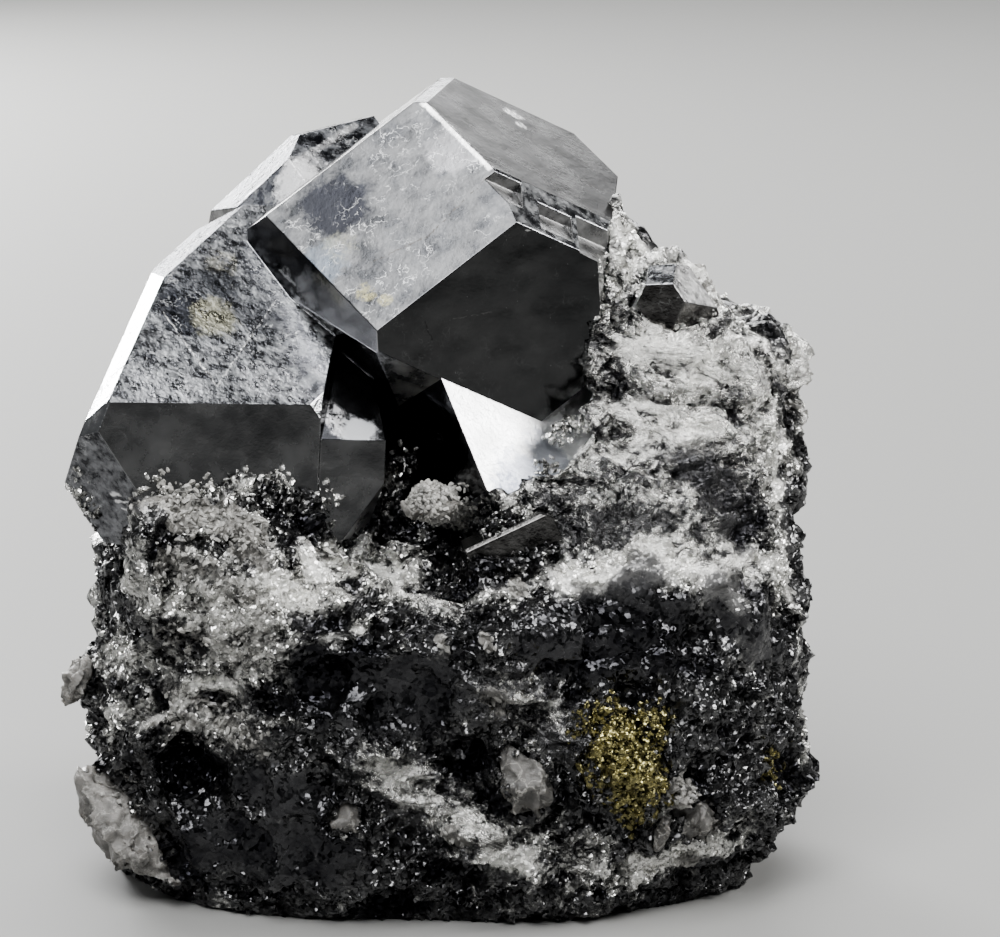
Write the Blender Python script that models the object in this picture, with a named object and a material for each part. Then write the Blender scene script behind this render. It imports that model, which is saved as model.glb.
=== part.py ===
# Skutterudite crystals grown on granular skutterudite rock, with calcite and chalcopyrite.
# Metres, +Z up, front towards -Y. The origin is the middle of the footprint, on the resting plane.

import math
import random

import bmesh
import bpy
from mathutils import Euler, Matrix, Vector, noise

# Driving dimensions. Lists of sizes below are in millimetres and are multiplied by MM.
MM = 0.001
GAP = 0.3               # clearance between pieces that touch
WIDTH = 39.8            # rock, left to right
ROCK_DETAIL = 5         # icosphere subdivisions of the rock
BLOCK = 60.0            # starting block that the crystal faces are split from

# The rock's outline at rising levels, as parts of WIDTH: height, left, right, front, back.
LEVELS = (
    (0.000, -0.430, 0.410, -0.250, 0.270),
    (0.040, -0.468, 0.452, -0.292, 0.315),
    (0.125, -0.492, 0.502, -0.316, 0.352),
    (0.230, -0.502, 0.496, -0.320, 0.372),
    (0.330, -0.476, 0.498, -0.326, 0.380),
    (0.415, -0.464, 0.490, -0.336, 0.378),
    (0.480, -0.474, 0.486, -0.286, 0.372),
    (0.555, -0.470, 0.492, -0.205, 0.362),
    (0.650, -0.425, 0.490, -0.130, 0.346),
    (0.735, -0.345, 0.456, -0.066, 0.318),
    (0.805, -0.262, 0.322, 0.000, 0.290),
    (0.870, -0.150, 0.270, 0.060, 0.262),
    (0.912, 0.040, 0.222, 0.110, 0.225),
)
SQUARENESS = 2.5        # exponent of the rock's cross-section: 2 is an ellipse
BASE_SHARE = 0.80       # how far down the sphere the flat underside begins
TOP_SHARE = 0.90        # how far up it the flat top begins

# Relief of the rock: width of the broken facets and how far they rise.
RELIEF = ((9.0, 1.5), (4.4, 1.0), (2.6, 0.5))
RELIEF_SEED = 2
BASE_FADE = 2.0         # height over which the relief grows from nothing at the base
TOP_FADE = 6.0          # and over which it dies out at the top
BASE_TRIM = 0.35        # taken off the underside to leave it flat

# Swellings and sinkings of the rock: centre, radius, shift.
PUSHES = (
    ((-12.0, -9.0, 19.5), 7.5, (0.0, -2.6, 2.6)),
    ((-16.8, -8.2, 19.3), 6.0, (0.5, -3.8, 2.8)),
    ((1.5, -12.0, 14.5), 5.0, (0.0, -0.8, 1.0)),
    ((-17.5, -6.5, 3.5), 5.0, (1.6, 1.0, 0.0)),
    ((11.0, 3.0, 33.8), 4.6, (0.9, -0.9, 2.6)),
    ((18.8, -1.0, 28.0), 2.6, (0.8, -0.6, 0.5)),
)

# Cleavage breaks: a point on the break, its outward direction, its radius.
BREAKS = (
    ((9.0, -12.2, 15.4), (0.12, -0.98, 0.10), 3.8),
    ((-6.5, -12.9, 6.5), (-0.30, -0.92, -0.25), 5.0),
    ((16.4, -8.8, 11.5), (0.60, -0.78, -0.16), 4.5),
    ((-18.2, -6.4, 11.5), (-0.90, -0.42, -0.10), 4.0),
    ((3.0, 14.9, 11.0), (0.10, 0.98, 0.14), 12.0),
    ((-14.9, 10.4, 9.0), (-0.66, 0.72, -0.20), 9.0),
    ((15.3, 10.6, 18.0), (0.70, 0.68, 0.22), 9.0),
    ((-10.0, 11.8, 25.4), (-0.42, 0.72, 0.55), 8.0),
    ((12.4, 4.8, 31.8), (0.45, 0.30, 0.84), 6.0),
)

BREAK_RIM = 3.0         # how steeply a break rises to the rough surface round it

# Each crystal: centre, turn in degrees, and its faces by Miller index with their distances.
MAIN_TURN = (4, 46, -100)
MAIN_CENTRE = (-0.8, 4.5, 30.8)
MAIN_FACES = {
    (0, 0, 1): 7.93, (0, 1, 0): 10.17, (1, 0, 0): 8.15, (-1, 0, 0): 11.30, (0, -1, 0): 8.60,
    (0, 0, -1): 9.20, (1, 1, 1): 8.72, (-1, 1, 1): 8.90, (1, -1, 1): 8.92, (-1, -1, 1): 8.57,
    (-1, 1, -1): 11.40, (-1, -1, -1): 8.80, (1, 1, -1): 8.90, (1, -1, -1): 9.00,
    (-1, 2, 2): 9.38, (-1, 0, 1): 10.43, (4, -3, 0): 6.70, (0, 4, -1): 9.33,
}
# Growth steps along the bevelled edge: depth of the riser below the face (1, 1, 1), the depth
# of the tread below the face (-1, 1, 1), and where the step starts and ends along the edge.
MAIN_STEPS = (
    (2.72, 0.62, -2.75, -0.45),
    (1.98, 0.86, 0.60, 2.70),
    (2.20, 1.10, 3.05, 6.20),
)
LOWER_FACES = {
    (0, 1, 1): 4.95, (1, -1, 1): 5.70, (1, 0, 0): 13.4, (1, 1, 1): 12.2, (0, 1, 0): 9.80,
    (0, 0, 1): 5.20, (-1, 0, 0): 2.0, (0, -1, 0): 7.0, (0, 0, -1): 6.0, (1, 1, -1): 12.8,
    (1, -1, -1): 9.0,
}
CLEARED = 13.0          # how far out the rock is cleared away in front of a free face
LEFT_TURN = (-38, -5, -163)
LEFT_CENTRE = (-10.5, 0.0, 25.0)
LEFT_FACES = {
    (0, 0, 1): 6.17, (0, 1, 1): 7.37, (-1, 1, 2): 7.35, (-3, 1, 1): 4.96, (2, -1, 1): 8.50,
    (2, 0, 1): 11.13, (2, -1, 0): 7.40, (1, -1, 1): 9.00, (1, -1, 0): 8.20, (0, -1, 0): 9.40,
    (0, 1, 0): 9.60, (0, 1, -1): 6.55, (0, 0, -1): 6.60, (1, 0, -1): 7.60, (-1, 0, -1): 7.0,
    (1, 1, 0): 10.8,
}
LEFT_STEP_FACES = {
    (0, 0, 1): 4.70, (0, 1, 1): 7.15, (-1, 0, 0): 5.70, (1, 0, 0): 1.0, (0, -1, 0): 3.0,
    (0, 1, 0): 9.2, (0, 0, -1): 4.0, (0, 1, -1): 7.2, (-1, 1, 0): 9.0,
}
LEDGE_TURN = (-31, 7, -150)
LEDGE_CENTRE = (-6.2, 7.6, 33.1)
LEDGE_FACES = {
    (0, 0, 1): 4.35, (0, 1, 1): 4.30, (1, 0, 0): 4.90, (0, 1, 0): 5.6, (-1, 0, 0): 4.0,
    (0, -1, 0): 4.6, (0, 0, -1): 5.0, (1, 0, 1): 4.60, (1, -1, 1): 5.0, (0, -1, 1): 5.7,
}
RIGHT_TURN = (28, 18, -52)
RIGHT_CENTRE = (12.0, 1.2, 31.0)
RIGHT_FACES = {
    (0, 0, 1): 1.8, (1, 0, 0): 1.8, (0, 1, 0): 1.8, (-1, 0, 0): 1.9, (0, -1, 0): 1.9,
    (0, 0, -1): 2.1, (1, 1, 1): 1.6, (1, -1, 1): 1.6, (-1, 1, 1): 1.7, (-1, -1, 1): 1.7,
}
SLAB_TURN = (-6, -24, 8)
SLAB_CENTRE = (3.7, -8.3, 20.3)
SLAB_FACES = {
    (1, 0, 0): 2.4, (-1, 0, 0): 2.5, (0, -1, 0): 1.1, (0, 1, 0): 1.6, (0, 0, 1): 0.85,
    (0, 0, -1): 0.85, (1, 0, 1): 1.95, (-1, 0, -1): 2.0, (0, -1, 1): 1.25,
}

# Hollows in the rock: centre, half sizes, turn in degrees, seed.
HOLLOWS = {
    "pocket": ((-1.6, -7.0, 22.0), (4.8, 5.8, 5.2), (0, 10, 0), 3),
    "cleft": ((-3.1, -2.2, 26.0), (3.2, 4.2, 3.6), (0, 20, 0), 5),
    "right_notch": ((9.8, -0.6, 31.0), (0.6, 2.0, 1.1), (0, 15, 0), 9),
}

HOLLOW_SIDES = 8

# Lumps set in the rock: centre, half sizes, turn in degrees, seed, cleaved sides.
CALCITE = {
    "calcite_corner": ((-16.2, -6.2, 3.9), (4.6, 3.0, 2.2), (10, 46, 0), 11, 12),
    "calcite_front": ((4.2, -12.6, 8.6), (1.6, 1.5, 2.3), (0, -18, 8), 12, 9),
    "calcite_pocket": ((-0.5, -6.6, 21.8), (1.7, 1.6, 1.15), (0, 16, 0), 13, 7),
    "calcite_left_edge": ((-19.5, -3.6, 11.2), (0.75, 1.6, 1.8), (0, 28, 0), 14, 7),
    "calcite_lower_right": ((13.4, -10.2, 6.0), (1.4, 1.3, 1.4), (0, 20, 0), 15, 7),
    "calcite_sliver": ((11.5, -11.1, 5.2), (0.5, 1.0, 1.2), (0, 12, 0), 16, 6),
    "calcite_low": ((-5.1, -12.0, 6.2), (1.2, 1.2, 1.1), (0, -10, 0), 17, 7),
}
CHALCOPYRITE = {
    "chalcopyrite": ((9.3, -11.6, 9.0), (2.5, 1.7, 3.3), (0, -14, 6), 21, 9),
    "chalcopyrite_small": ((18.5, -4.2, 6.2), (1.0, 1.0, 1.1), (0, 0, 0), 22, 6),
}

WELD = 0.008            # points nearer than this become one
FLAT_ENOUGH = 0.0005    # radians between faces that are one flat face
LARGE_LUMP = 2.4        # half size from which a lump gets the finer icosphere

# Finishes: colour, metallic, roughness.
FINISHES = {
    "massive_skutterudite": ((0.33, 0.34, 0.35), 0.9, 0.42),
    "crystal_skutterudite": ((0.40, 0.41, 0.43), 1.0, 0.22),
    "calcite_white": ((0.72, 0.69, 0.62), 0.0, 0.45),
    "brassy_chalcopyrite": ((0.46, 0.38, 0.13), 0.9, 0.38),
}


def start_empty():
    """Remove what the scene holds and make the two collections."""
    for held in list(bpy.data.objects):
        bpy.data.objects.remove(held, do_unlink=True)
    made = []
    for name in ("skutterudite_specimen", "cutters"):
        group = bpy.data.collections.new(name)
        bpy.context.scene.collection.children.link(group)
        made.append(group)
    return made


def finish_named(name):
    """A material with the mineral's colour, metallic value and roughness."""
    material = bpy.data.materials.new(name)
    material.use_nodes = True
    shader = material.node_tree.nodes["Principled BSDF"]
    colour, metallic, roughness = FINISHES[name]
    shader.inputs["Base Color"].default_value = (*colour, 1.0)
    shader.inputs["Metallic"].default_value = metallic
    shader.inputs["Roughness"].default_value = roughness
    return material


def object_from(bm, name, group):
    """Put a bmesh in a new object of the group."""
    bmesh.ops.recalc_face_normals(bm, faces=bm.faces)
    mesh = bpy.data.meshes.new(name)
    bm.to_mesh(mesh)
    bm.free()
    made = bpy.data.objects.new(name, mesh)
    group.objects.link(made)
    return made


def turned(degrees):
    return Euler([math.radians(angle) for angle in degrees]).to_matrix()


def split_off(bm, point, normal):
    """Cut a closed form with a plane, drop what is outside it and close the cut."""
    everything = bm.verts[:] + bm.edges[:] + bm.faces[:]
    cut = bmesh.ops.bisect_plane(
        bm, geom=everything, dist=1e-8, plane_co=point, plane_no=normal, clear_outer=True
    )
    rim = [edge for edge in cut["geom_cut"] if isinstance(edge, bmesh.types.BMEdge)]
    if rim:
        bmesh.ops.contextual_create(bm, geom=rim)


def crystal(centre, turn, faces, swell=0.0):
    """A block bounded by crystal faces, each at its distance from the centre."""
    middle = Vector(centre) * MM
    lattice = turned(turn)
    bm = bmesh.new()
    bmesh.ops.create_cube(bm, size=BLOCK * MM, matrix=Matrix.Translation(middle))
    for index, distance in faces.items():
        normal = (lattice @ Vector(index)).normalized()
        split_off(bm, middle + normal * (distance + swell) * MM, normal)
    bmesh.ops.remove_doubles(bm, verts=bm.verts, dist=1e-6)
    return bm


def step_notch(riser_depth, tread_depth, start, end):
    """The wedge missing at a growth step of the main crystal's bevelled edge."""
    faces = {
        (-1, -1, -1): riser_depth - MAIN_FACES[(1, 1, 1)],
        (1, -1, -1): tread_depth - MAIN_FACES[(-1, 1, 1)],
        (0, 1, -1): end,
        (0, -1, 1): -start,
        (-1, 2, 2): MAIN_FACES[(-1, 2, 2)] + 1.0,
    }
    return crystal(MAIN_CENTRE, MAIN_TURN, faces)


def smooth_between(before, low, high, after, part):
    """Catmull-Rom curve from low to high."""
    slope_in, slope_out = (high - before) / 2, (after - low) / 2
    bend = (2 * low - 2 * high + slope_in + slope_out) * part
    return ((bend + 3 * high - 3 * low - 2 * slope_in - slope_out) * part + slope_in) * part + low


def level_at(share):
    """Height, left, right, front and back of the rock at a share of the way up its levels."""
    last = len(LEVELS) - 1
    place = share * last
    below = min(int(place), last - 1)
    near = (LEVELS[max(below - 1, 0)], LEVELS[below], LEVELS[below + 1], LEVELS[min(below + 2, last)])
    return [WIDTH * smooth_between(*four, place - below) for four in zip(*near)]


def rounded(value, power):
    return math.copysign(abs(value) ** power, value)


def rock_point(direction):
    """Where a point of the unit sphere goes on the rock's outer form."""
    upright = min(TOP_SHARE, max(-BASE_SHARE, direction.z))
    height, left, right, front, back = level_at((upright + BASE_SHARE) / (TOP_SHARE + BASE_SHARE))
    flat = math.hypot(direction.x, direction.y)
    spread = flat / math.sqrt(1.0 - upright**2) if upright != direction.z else 1.0
    angle = math.atan2(direction.y, direction.x)
    across = rounded(math.cos(angle), 2.0 / SQUARENESS) * spread
    away = rounded(math.sin(angle), 2.0 / SQUARENESS) * spread
    x = (left + right) / 2 + across * (right - left) / 2
    y = (front + back) / 2 + away * (back - front) / 2
    return Vector((x, y, height)) * MM


def relief_at(point):
    """Height of the broken surface at a point, in metres: tilted facets of three sizes."""
    height = 0.0
    for number, (size, rise) in enumerate(RELIEF):
        place = point / (size * MM) + Vector((number * 7.3, 1.7, 4.1))
        middle = noise.voronoi(place)[1][0]
        tilt = noise.noise_vector(middle * 3.7)
        height += rise * MM * (tilt.dot(place - middle) + 0.8 * noise.noise(middle * 2.3))
    return height


def press_flat(bm, point, normal, radius):
    """Press what stands beyond a cleavage plane onto it, within a radius of its point."""
    point = Vector(point) * MM
    normal = Vector(normal).normalized()
    for vert in bm.verts:
        offset = vert.co - point
        beyond = offset.dot(normal)
        away = (offset - normal * beyond).length / (radius * MM)
        if beyond > 0 and away < 1.0:
            vert.co -= normal * beyond * min(1.0, BREAK_RIM * (1.0 - away))


def push(bm, centre, radius, shift):
    """Shift the surface round a point, less and less towards the radius."""
    for vert in bm.verts:
        away = (vert.co / MM - Vector(centre)).length / radius
        if away < 1.0:
            vert.co += Vector(shift) * MM * (1.0 - away**2) ** 2


def rock_body():
    """The uncut rock: an icosphere drawn over the levels, with relief and cleavage breaks."""
    noise.seed_set(RELIEF_SEED)
    bm = bmesh.new()
    bmesh.ops.create_icosphere(bm, subdivisions=ROCK_DETAIL, radius=1.0)
    for vert in bm.verts:
        vert.co = rock_point(vert.co.normalized())
    for centre, radius, shift in PUSHES:
        push(bm, centre, radius, shift)
    bm.normal_update()
    moved = {vert: vert.normal * relief_at(vert.co) for vert in bm.verts}
    top = WIDTH * LEVELS[-1][0]
    for vert, shift in moved.items():
        from_base = vert.co.z / MM
        from_top = max(0.0, top - from_base)
        vert.co += shift * min(1.0, from_base / BASE_FADE, from_top / TOP_FADE)
    for point, normal, radius in BREAKS:
        press_flat(bm, point, normal, radius)
    split_off(bm, Vector((0, 0, BASE_TRIM)) * MM, Vector((0, 0, -1)))
    bmesh.ops.translate(bm, verts=bm.verts, vec=(0, 0, -BASE_TRIM * MM))
    return bm


def lump(centre, sizes, turn, seed, sides, swell=0.0, detail=3):
    """A grain mass with cleaved sides and a rough skin."""
    draw = random.Random(seed)
    bm = bmesh.new()
    bmesh.ops.create_icosphere(bm, subdivisions=detail, radius=1.0)
    for _ in range(sides):
        normal = Vector([draw.gauss(0, 1) for _ in range(3)]).normalized()
        reach = draw.uniform(0.66, 0.86)
        for vert in bm.verts:
            beyond = vert.co.dot(normal) - reach
            if beyond > 0:
                vert.co -= normal * beyond
    place = Matrix.Translation(Vector(centre) * MM) @ turned(turn).to_4x4()
    for vert in bm.verts:
        outward = vert.co.normalized()
        rough = 1.0 + 0.10 * noise.noise(vert.co * 3.1 + Vector((seed, 0, 0)))
        spot = Vector([c * size for c, size in zip(vert.co * rough, sizes)]) + outward * swell
        vert.co = place @ (spot * MM)
    return bm


def cut(target, cutters, operation="DIFFERENCE"):
    """Apply Boolean modifiers one by one with the exact solver, tidying the mesh after each."""
    for cutter in cutters:
        modifier = target.modifiers.new(cutter.name, "BOOLEAN")
        modifier.object = cutter
        modifier.operation = operation
        modifier.solver = "EXACT"
        graph = bpy.context.evaluated_depsgraph_get()
        mesh = bpy.data.meshes.new_from_object(target.evaluated_get(graph))
        target.modifiers.clear()
        target.data = mesh
        keep_body(target)


def as_cutter(bm, name, cutters):
    made = object_from(bm, name, cutters)
    made.hide_render = True
    made.display_type = "WIRE"
    return made


def keep_body(target):
    """Drop the crumbs that a cut leaves loose and weld what it leaves nearly touching."""
    bm = bmesh.new()
    bm.from_mesh(target.data)
    bmesh.ops.remove_doubles(bm, verts=bm.verts, dist=WELD * MM)
    bmesh.ops.dissolve_degenerate(bm, edges=bm.edges, dist=WELD * MM)
    bmesh.ops.dissolve_limit(bm, angle_limit=FLAT_ENOUGH, verts=bm.verts, edges=bm.edges)
    islands = []
    waiting = set(bm.verts)
    while waiting:
        island = {waiting.pop()}
        edge_of_island = list(island)
        while edge_of_island:
            vert = edge_of_island.pop()
            for edge in vert.link_edges:
                other = edge.other_vert(vert)
                if other in waiting:
                    waiting.discard(other)
                    island.add(other)
                    edge_of_island.append(other)
        islands.append(island)
    islands.sort(key=len)
    crumbs = [vert for island in islands[:-1] for vert in island]
    bmesh.ops.delete(bm, geom=crumbs, context="VERTS")
    bm.to_mesh(target.data)
    bm.free()


def crystal_bodies(swell=0.0):
    """The intergrown crystals, before they are joined."""
    return {
        "main": crystal(MAIN_CENTRE, MAIN_TURN, MAIN_FACES, swell),
        "lower": crystal(MAIN_CENTRE, MAIN_TURN, LOWER_FACES, swell),
        "left": crystal(LEFT_CENTRE, LEFT_TURN, LEFT_FACES, swell),
        "left_step": crystal(LEFT_CENTRE, LEFT_TURN, LEFT_STEP_FACES, swell),
        "ledge": crystal(LEDGE_CENTRE, LEDGE_TURN, LEDGE_FACES, swell),
    }


def crystal_group(parts, cutters):
    """Main, lower and left crystals joined in one solid, with the growth steps cut in."""
    bodies = crystal_bodies()
    group = object_from(bodies.pop("main"), "crystal_group", parts)
    steps = [as_cutter(step_notch(*step), f"step_{n}", cutters) for n, step in enumerate(MAIN_STEPS)]
    cut(group, steps)
    cut(group, [as_cutter(bm, f"{name}_body", cutters) for name, bm in bodies.items()], "UNION")
    return group


def set_lumps(table, parts, cutters):
    """The lumps of one mineral, and the sockets they need in the rock."""
    pieces, sockets = [], []
    for name, sizes in table.items():
        detail = 3 if max(sizes[1]) > LARGE_LUMP else 2
        pieces.append(object_from(lump(*sizes, detail=detail), name, parts))
        socket = lump(*sizes, swell=GAP, detail=detail)
        sockets.append(as_cutter(socket, f"{name}_socket", cutters))
    return pieces, sockets


def stand_on_origin(parts):
    """Move the specimen so that its origin is the middle of its box, on the resting plane."""
    corners = [vert.co for piece in parts.objects for vert in piece.data.vertices]
    lows = [min(corner[axis] for corner in corners) for axis in range(3)]
    highs = [max(corner[axis] for corner in corners) for axis in range(3)]
    shift = Vector((-(lows[0] + highs[0]) / 2, -(lows[1] + highs[1]) / 2, -lows[2]))
    for piece in parts.objects:
        piece.data.transform(Matrix.Translation(shift))


def build():
    parts, cutters = start_empty()
    finishes = {name: finish_named(name) for name in FINISHES}
    group = crystal_group(parts, cutters)
    right = object_from(crystal(RIGHT_CENTRE, RIGHT_TURN, RIGHT_FACES), "right_crystal", parts)
    slab = object_from(crystal(SLAB_CENTRE, SLAB_TURN, SLAB_FACES), "pocket_crystal", parts)
    calcites, calcite_sockets = set_lumps(CALCITE, parts, cutters)
    brassy, brassy_sockets = set_lumps(CHALCOPYRITE, parts, cutters)
    room = crystal_bodies(GAP)
    room["right"] = crystal(RIGHT_CENTRE, RIGHT_TURN, RIGHT_FACES, GAP)
    room["slab"] = crystal(SLAB_CENTRE, SLAB_TURN, SLAB_FACES, GAP)
    room["main_front"] = crystal(MAIN_CENTRE, MAIN_TURN, {**MAIN_FACES, (1, 1, 1): CLEARED})
    room["lower_front"] = crystal(MAIN_CENTRE, MAIN_TURN, {**LOWER_FACES, (0, 1, 1): CLEARED})
    sockets = [as_cutter(bm, f"{name}_room", cutters) for name, bm in room.items()]
    hollows = [as_cutter(lump(*row, HOLLOW_SIDES), name, cutters) for name, row in HOLLOWS.items()]
    matrix = object_from(rock_body(), "matrix", parts)
    cut(matrix, hollows + sockets + calcite_sockets + brassy_sockets)
    dressed = (
        ("massive_skutterudite", [matrix]),
        ("crystal_skutterudite", [group, right, slab]),
        ("calcite_white", calcites),
        ("brassy_chalcopyrite", brassy),
    )
    for finish, pieces in dressed:
        for piece in pieces:
            piece.data.materials.clear()
            piece.data.materials.append(finishes[finish])
    stand_on_origin(parts)


build()
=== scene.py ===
import math

import bmesh
import bpy
import numpy as np
from mathutils import Euler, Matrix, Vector, noise
from mathutils.bvhtree import BVHTree


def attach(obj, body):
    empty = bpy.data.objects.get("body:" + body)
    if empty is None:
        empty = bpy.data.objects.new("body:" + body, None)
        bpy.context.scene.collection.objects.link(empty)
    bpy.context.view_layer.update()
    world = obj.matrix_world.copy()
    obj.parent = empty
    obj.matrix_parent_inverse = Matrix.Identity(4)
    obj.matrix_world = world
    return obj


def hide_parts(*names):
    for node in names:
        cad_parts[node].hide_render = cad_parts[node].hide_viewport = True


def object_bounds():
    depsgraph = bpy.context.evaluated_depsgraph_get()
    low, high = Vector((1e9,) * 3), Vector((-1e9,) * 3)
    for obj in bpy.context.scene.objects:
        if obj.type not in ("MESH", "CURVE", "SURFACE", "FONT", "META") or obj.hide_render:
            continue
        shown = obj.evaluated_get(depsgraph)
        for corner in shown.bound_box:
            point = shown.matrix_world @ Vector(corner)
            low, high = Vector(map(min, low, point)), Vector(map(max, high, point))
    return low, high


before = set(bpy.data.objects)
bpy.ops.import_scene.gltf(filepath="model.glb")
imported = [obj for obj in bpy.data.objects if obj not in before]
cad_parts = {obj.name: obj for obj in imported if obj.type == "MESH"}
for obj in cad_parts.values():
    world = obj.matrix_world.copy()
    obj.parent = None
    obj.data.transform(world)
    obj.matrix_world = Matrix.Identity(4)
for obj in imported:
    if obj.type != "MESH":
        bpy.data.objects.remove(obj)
cadLow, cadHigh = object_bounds()
print("frame loaded")

mm = 0.001
noise.seed_set(4)

# where the camera stands: aim and distance in mm, a pixel's width at the aim, clip distances in metres
cameraSetup = {
    "aim": (3.18, -0.977, 21.95), "elevation": 15.0, "distance": 300.0,
    "pixel": 0.0536, "picture": (1000, 937), "sensor": 36.0, "clip": (0.01, 10.0),
}


def outwards(azimuth, elevation):
    # the way out from the specimen; the azimuth turns from the front towards +X
    turn, tilt = math.radians(azimuth), math.radians(elevation)
    return Vector((math.sin(turn) * math.cos(tilt), -math.cos(turn) * math.cos(tilt), math.sin(tilt)))


def makeCamera():
    setup = cameraSetup
    back = outwards(0, setup["elevation"])
    camera = bpy.data.objects.new("camera", bpy.data.cameras.new("camera"))
    bpy.context.scene.collection.objects.link(camera)
    camera.location = (Vector(setup["aim"]) + back * setup["distance"]) * mm
    camera.rotation_euler = back.to_track_quat("Z", "Y").to_euler()
    camera.data.sensor_width = setup["sensor"]
    camera.data.lens = setup["sensor"] * setup["distance"] / (setup["pixel"] * setup["picture"][0])
    camera.data.clip_start, camera.data.clip_end = setup["clip"]
    bpy.context.scene.camera = camera


def rayThrough(across, down):
    # from the camera through a pixel, in metres
    setup = cameraSetup
    tilt = math.radians(setup["elevation"])
    up = Vector((0, math.sin(tilt), math.cos(tilt)))
    width, height = setup["picture"]
    aim = Vector(setup["aim"]) + Vector((1, 0, 0)) * (across - width / 2) * setup["pixel"]
    aim += up * (height / 2 - down) * setup["pixel"]
    eye = Vector(setup["aim"]) + outwards(0, setup["elevation"]) * setup["distance"]
    return eye * mm, (aim - eye).normalized()


makeCamera()


def fill(node, inputs):
    # a value of another node is linked, anything else is set on the socket itself
    for name, value in inputs.items():
        socket = node.inputs[name]
        value = getattr(value, "socket", value)
        if isinstance(value, bpy.types.NodeSocket):
            node.id_data.links.new(value, socket)
        else:
            socket.default_value = value


def put(tree, kind, inputs=None, **options):
    node = tree.nodes.new(kind)
    for name, value in options.items():
        setattr(node, name, value)
    fill(node, inputs or {})
    return node


class Value:
    # a number or a colour at every point of a surface
    def __init__(self, tree, socket):
        self.tree = tree
        self.socket = socket

    def join(self, operation, other=0.0, clamp=False):
        node = put(self.tree, "ShaderNodeMath", {0: self, 1: other}, operation=operation, use_clamp=clamp)
        return Value(self.tree, node.outputs[0])

    def __add__(self, other):
        return self.join("ADD", other)

    def __sub__(self, other):
        return self.join("SUBTRACT", other)

    def __mul__(self, other):
        return self.join("MULTIPLY", other)

    def __abs__(self):
        return self.join("ABSOLUTE")

    def fade(self, low, high, toLow=0.0, toHigh=1.0):
        node = put(self.tree, "ShaderNodeMapRange", {
            "Value": self, "From Min": low, "From Max": high, "To Min": toLow, "To Max": toHigh,
        })
        return Value(self.tree, node.outputs[0])

    def mix(self, first, second):
        # the first number where this is 0, the second where it is 1
        return Value(self.tree, put(self.tree, "ShaderNodeMix", {0: self, 2: first, 3: second}).outputs[0])

    def blend(self, first, second):
        # the first colour where this is 0, the second where it is 1
        first, second = (
            colour if isinstance(colour, Value) else (*colour, 1.0) for colour in (first, second)
        )
        node = put(self.tree, "ShaderNodeMix", {0: self, 6: first, 7: second}, data_type="RGBA")
        return Value(self.tree, node.outputs[2])


class Place(Value):
    # a vector at every point of a surface
    def __add__(self, other):
        return Place(self.tree, put(self.tree, "ShaderNodeVectorMath", {0: self, 1: other}).outputs[0])

    def __sub__(self, other):
        node = put(self.tree, "ShaderNodeVectorMath", {0: self, 1: other}, operation="SUBTRACT")
        return Place(self.tree, node.outputs[0])

    def __mul__(self, share):
        return stretched(self.tree, self, share)

    def measure(self, operation, other):
        node = put(self.tree, "ShaderNodeVectorMath", {0: self, 1: other}, operation=operation)
        return Value(self.tree, node.outputs["Value"])

    def blotches(self, size, detail, rough, seed=0.0):
        # soft noise with lumps of the given size in mm
        spot = put(self.tree, "ShaderNodeMapping", {"Vector": self, "Location": (seed, seed * 0.7, 0)})
        node = put(self.tree, "ShaderNodeTexNoise", {
            "Vector": spot.outputs[0], "Scale": 1 / size, "Detail": detail, "Roughness": rough,
        })
        return Value(self.tree, node.outputs[0])

    def splinters(self, size):
        # flat facets of the given size, each tilted its own way: their height and their own grey
        cells = put(self.tree, "ShaderNodeTexVoronoi", {"Vector": self, "Scale": 1 / size}).outputs
        lean = Place(self.tree, cells["Color"]) - (0.5, 0.5, 0.5)
        grey = put(self.tree, "ShaderNodeSeparateColor", {"Color": cells["Color"]})
        return lean.measure("DOT_PRODUCT", self - cells["Position"]), Value(self.tree, grey.outputs[0])

    def wander(self, size, detail=4.0):
        # a noise vector round zero
        node = put(self.tree, "ShaderNodeTexNoise", {
            "Vector": self, "Scale": 1 / size, "Detail": detail, "Roughness": 0.68,
        })
        return Place(self.tree, node.outputs["Color"]) - (0.5, 0.5, 0.5)

    def nearPoint(self, point, radius):
        # 1 round the point, fading out at the radius
        return self.measure("DISTANCE", tuple(point)).fade(radius * 0.75, radius * 1.1, 1.0, 0.0)

    def nearLine(self, start, end, width):
        # 1 on the line between two points, 0 from the width outwards
        run = Vector(end) - Vector(start)
        offset = self - tuple(start)
        along = offset.measure("DOT_PRODUCT", tuple(run / run.length_squared)).join("ADD", clamp=True)
        foot = stretched(self.tree, tuple(run), along)
        return offset.measure("DISTANCE", foot).fade(width * 0.4, width, 1.0, 0.0)


def stretched(tree, vector, share):
    node = put(tree, "ShaderNodeVectorMath", {0: vector, "Scale": share}, operation="SCALE")
    return Place(tree, node.outputs[0])


def newFinish(name):
    # a material, its shader, and the object's own coordinates in mm
    material = bpy.data.materials.new(name)
    material.use_nodes = True
    tree = material.node_tree
    place = Place(tree, put(tree, "ShaderNodeTexCoord").outputs["Object"]) * (1 / mm)
    return material, tree.nodes["Principled BSDF"], place


def addRelief(shader, height, strength):
    bump = put(height.tree, "ShaderNodeBump", {"Height": height, "Strength": strength, "Distance": mm})
    fill(shader, {"Normal": Value(height.tree, bump.outputs[0])})


def attribute(tree, name):
    return Value(tree, put(tree, "ShaderNodeAttribute", attribute_name=name).outputs["Fac"])


def mergedCopy(*nodeNames):
    bm = bmesh.new()
    for nodeName in nodeNames:
        bm.from_mesh(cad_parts[nodeName].data)
    bmesh.ops.remove_doubles(bm, verts=bm.verts, dist=0.0005 * mm)
    return bm


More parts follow.
